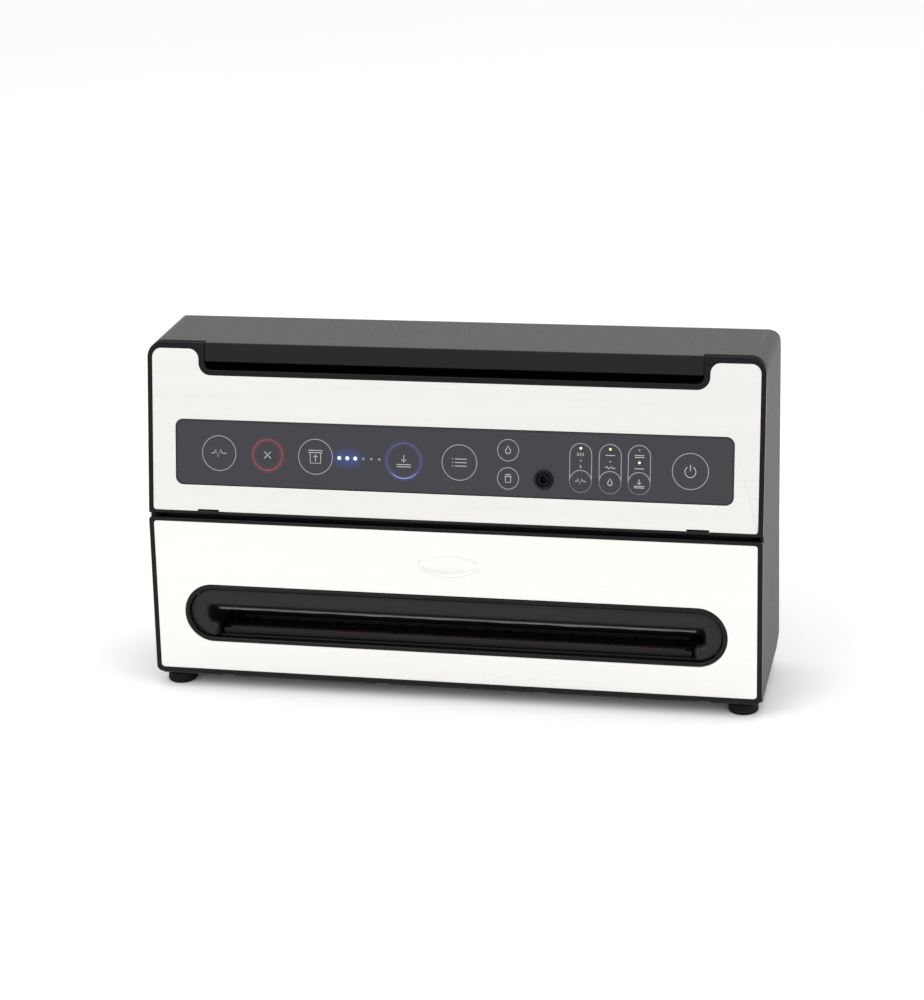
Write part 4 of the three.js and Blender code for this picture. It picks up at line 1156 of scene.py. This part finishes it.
# %% Liner ribs
LINER_HALF, LINER_BACK, LINER_MIDDLE, LINER_PITCH = 176, 11.9, 53, 22
liner_points = row((-LINER_HALF, LINER_BACK, LINER_MIDDLE), (LINER_PITCH, 0, 0),
                   2 * LINER_HALF // LINER_PITCH + 1)
liner_ribs = set_on_points("liner_ribs", liner_points,
                           block("liner_rib", (1.2, 1.4, 66), 0.3), SATIN_ABS, place=UPPER)
seat(liner_ribs, SATIN_ABS, "door")

# %% Tray ribs
TRAY_HALF, TRAY_MIDDLE, TRAY_FLOOR, TRAY_PITCH = 140, 26.5, -74.5, 14
tray_points = row((-TRAY_HALF, TRAY_MIDDLE, TRAY_FLOOR), (TRAY_PITCH, 0, 0),
                  2 * TRAY_HALF // TRAY_PITCH + 1)
tray_ribs = set_on_points("tray_ribs", tray_points,
                          block("tray_rib", (1.0, 20, 1.6), 0.25), SATIN_ABS, place=LOWER)
seat(tray_ribs, SATIN_ABS, "tray")

# %% Knob ridges
low, high = (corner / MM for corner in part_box("cutter_knob"))
knob_ridges = set_on_points("knob_ridges", row((low.x + 2, (low.y + high.y) / 2, high.z), (2, 0, 0), 6),
                            block("knob_ridge", (0.8, 5.4, 1.0), 0.25), SILICONE)
seat(knob_ridges, SILICONE, "cutter_knob")

# %% Cutter rail
RAIL_SIZE, RAIL_Y = (296, 0.6, 1.2), -13.7
rail_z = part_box("cutter_bar")[1].z / MM + 0.1
rail = block("cutter_rail", RAIL_SIZE, 0.2)
rail.data.transform(Matrix.Translation(Vector((0, RAIL_Y, rail_z)) * MM))
seat(rail, ZINC, "cutter_bar")

# %% [markdown]
# ## The CAD pieces that stay
# Gears, motors, boards, guides and the hinge are small or hidden, so they are left as they are.
# They only need the finish of what they are made of.

# %% Finishes for the remaining nodes
KEPT = {
    FOIL: ("control_membrane",),
    ZINC: ("jaw_guide_left", "jaw_guide_right", "jaw_shaft", "motor_pinion", "jaw_motor", "pump_motor",
           "pump_crank", "hinge_pin_left", "hinge_pin_right", "catch_plate_left", "catch_plate_right",
           "door_magnet_left", "door_magnet_right"),
    BLACK_ABS: ("hinge_knuckle_left", "hinge_knuckle_right"),
    NYLON: ("pinion_left", "pinion_right", "shaft_gear"),
    SATIN_ABS: ("pump_head", "door_liner_rim"),
    SILICONE: ("pump_hose",),
    COPPER: ("transformer",),
    BOARD: ("main_board", "control_board"),
}
for finish, nodes in KEPT.items():
    for node in nodes:
        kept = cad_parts[node].data
        kept.materials.clear()
        kept.materials.append(finish)
print(sum(len(nodes) for nodes in KEPT.values()), "CAD nodes keep their shape")

# %% [markdown]
# ## Light and floor
# A product shot on white: a pale floor, an even sky of light, and three soft boxes. Steel
# shows what is around it, so an even white surround is what makes the brushed fronts look white,
# and the soft boxes give the casing its gradation and the feet their soft shadow.

# %% Light and floor
scene = bpy.context.scene
scene.view_settings.view_transform = "Standard"
world = bpy.data.worlds.new("studio")
scene.world = world
world.use_nodes = True
world.node_tree.nodes.clear()
sky = add_node(world.node_tree, "ShaderNodeBackground", links={"Color": (1, 1, 1, 1), "Strength": 1.0})
add_node(world.node_tree, "ShaderNodeOutputWorld", links={"Surface": sky.outputs["Background"]})


def soft_box(name, place, size, watts):
    data = bpy.data.lights.new(name, "AREA")
    data.shape = "SQUARE"
    data.size = size
    data.energy = watts
    lamp_object = bpy.data.objects.new(name, data)
    scene.collection.objects.link(lamp_object)
    lamp_object.location = place
    aim_at = Vector((0, 0, 0.1)) - Vector(place)
    lamp_object.rotation_euler = aim_at.to_track_quat("-Z", "Y").to_euler()
    return lamp_object


soft_box("key", (-0.9, -1.3, 1.6), 1.2, 10)
soft_box("top", (0.3, 0.2, 2.0), 1.6, 8)
soft_box("fill", (1.4, -0.7, 0.5), 0.9, 4)


def floor_plane(drawing):
    bmesh.ops.create_grid(drawing, x_segments=1, y_segments=1, size=6.0)


def pale_floor(tree):
    return {"Base Color": blend_colours(tree, grain(tree, 400), "#f4f4f4", "#f6f6f6"), "Roughness": 0.9,
            "Specular IOR Level": 0.1}


floor = piece_from("floor", floor_plane)
floor.data.materials.append(material("pale_studio_floor", pale_floor))
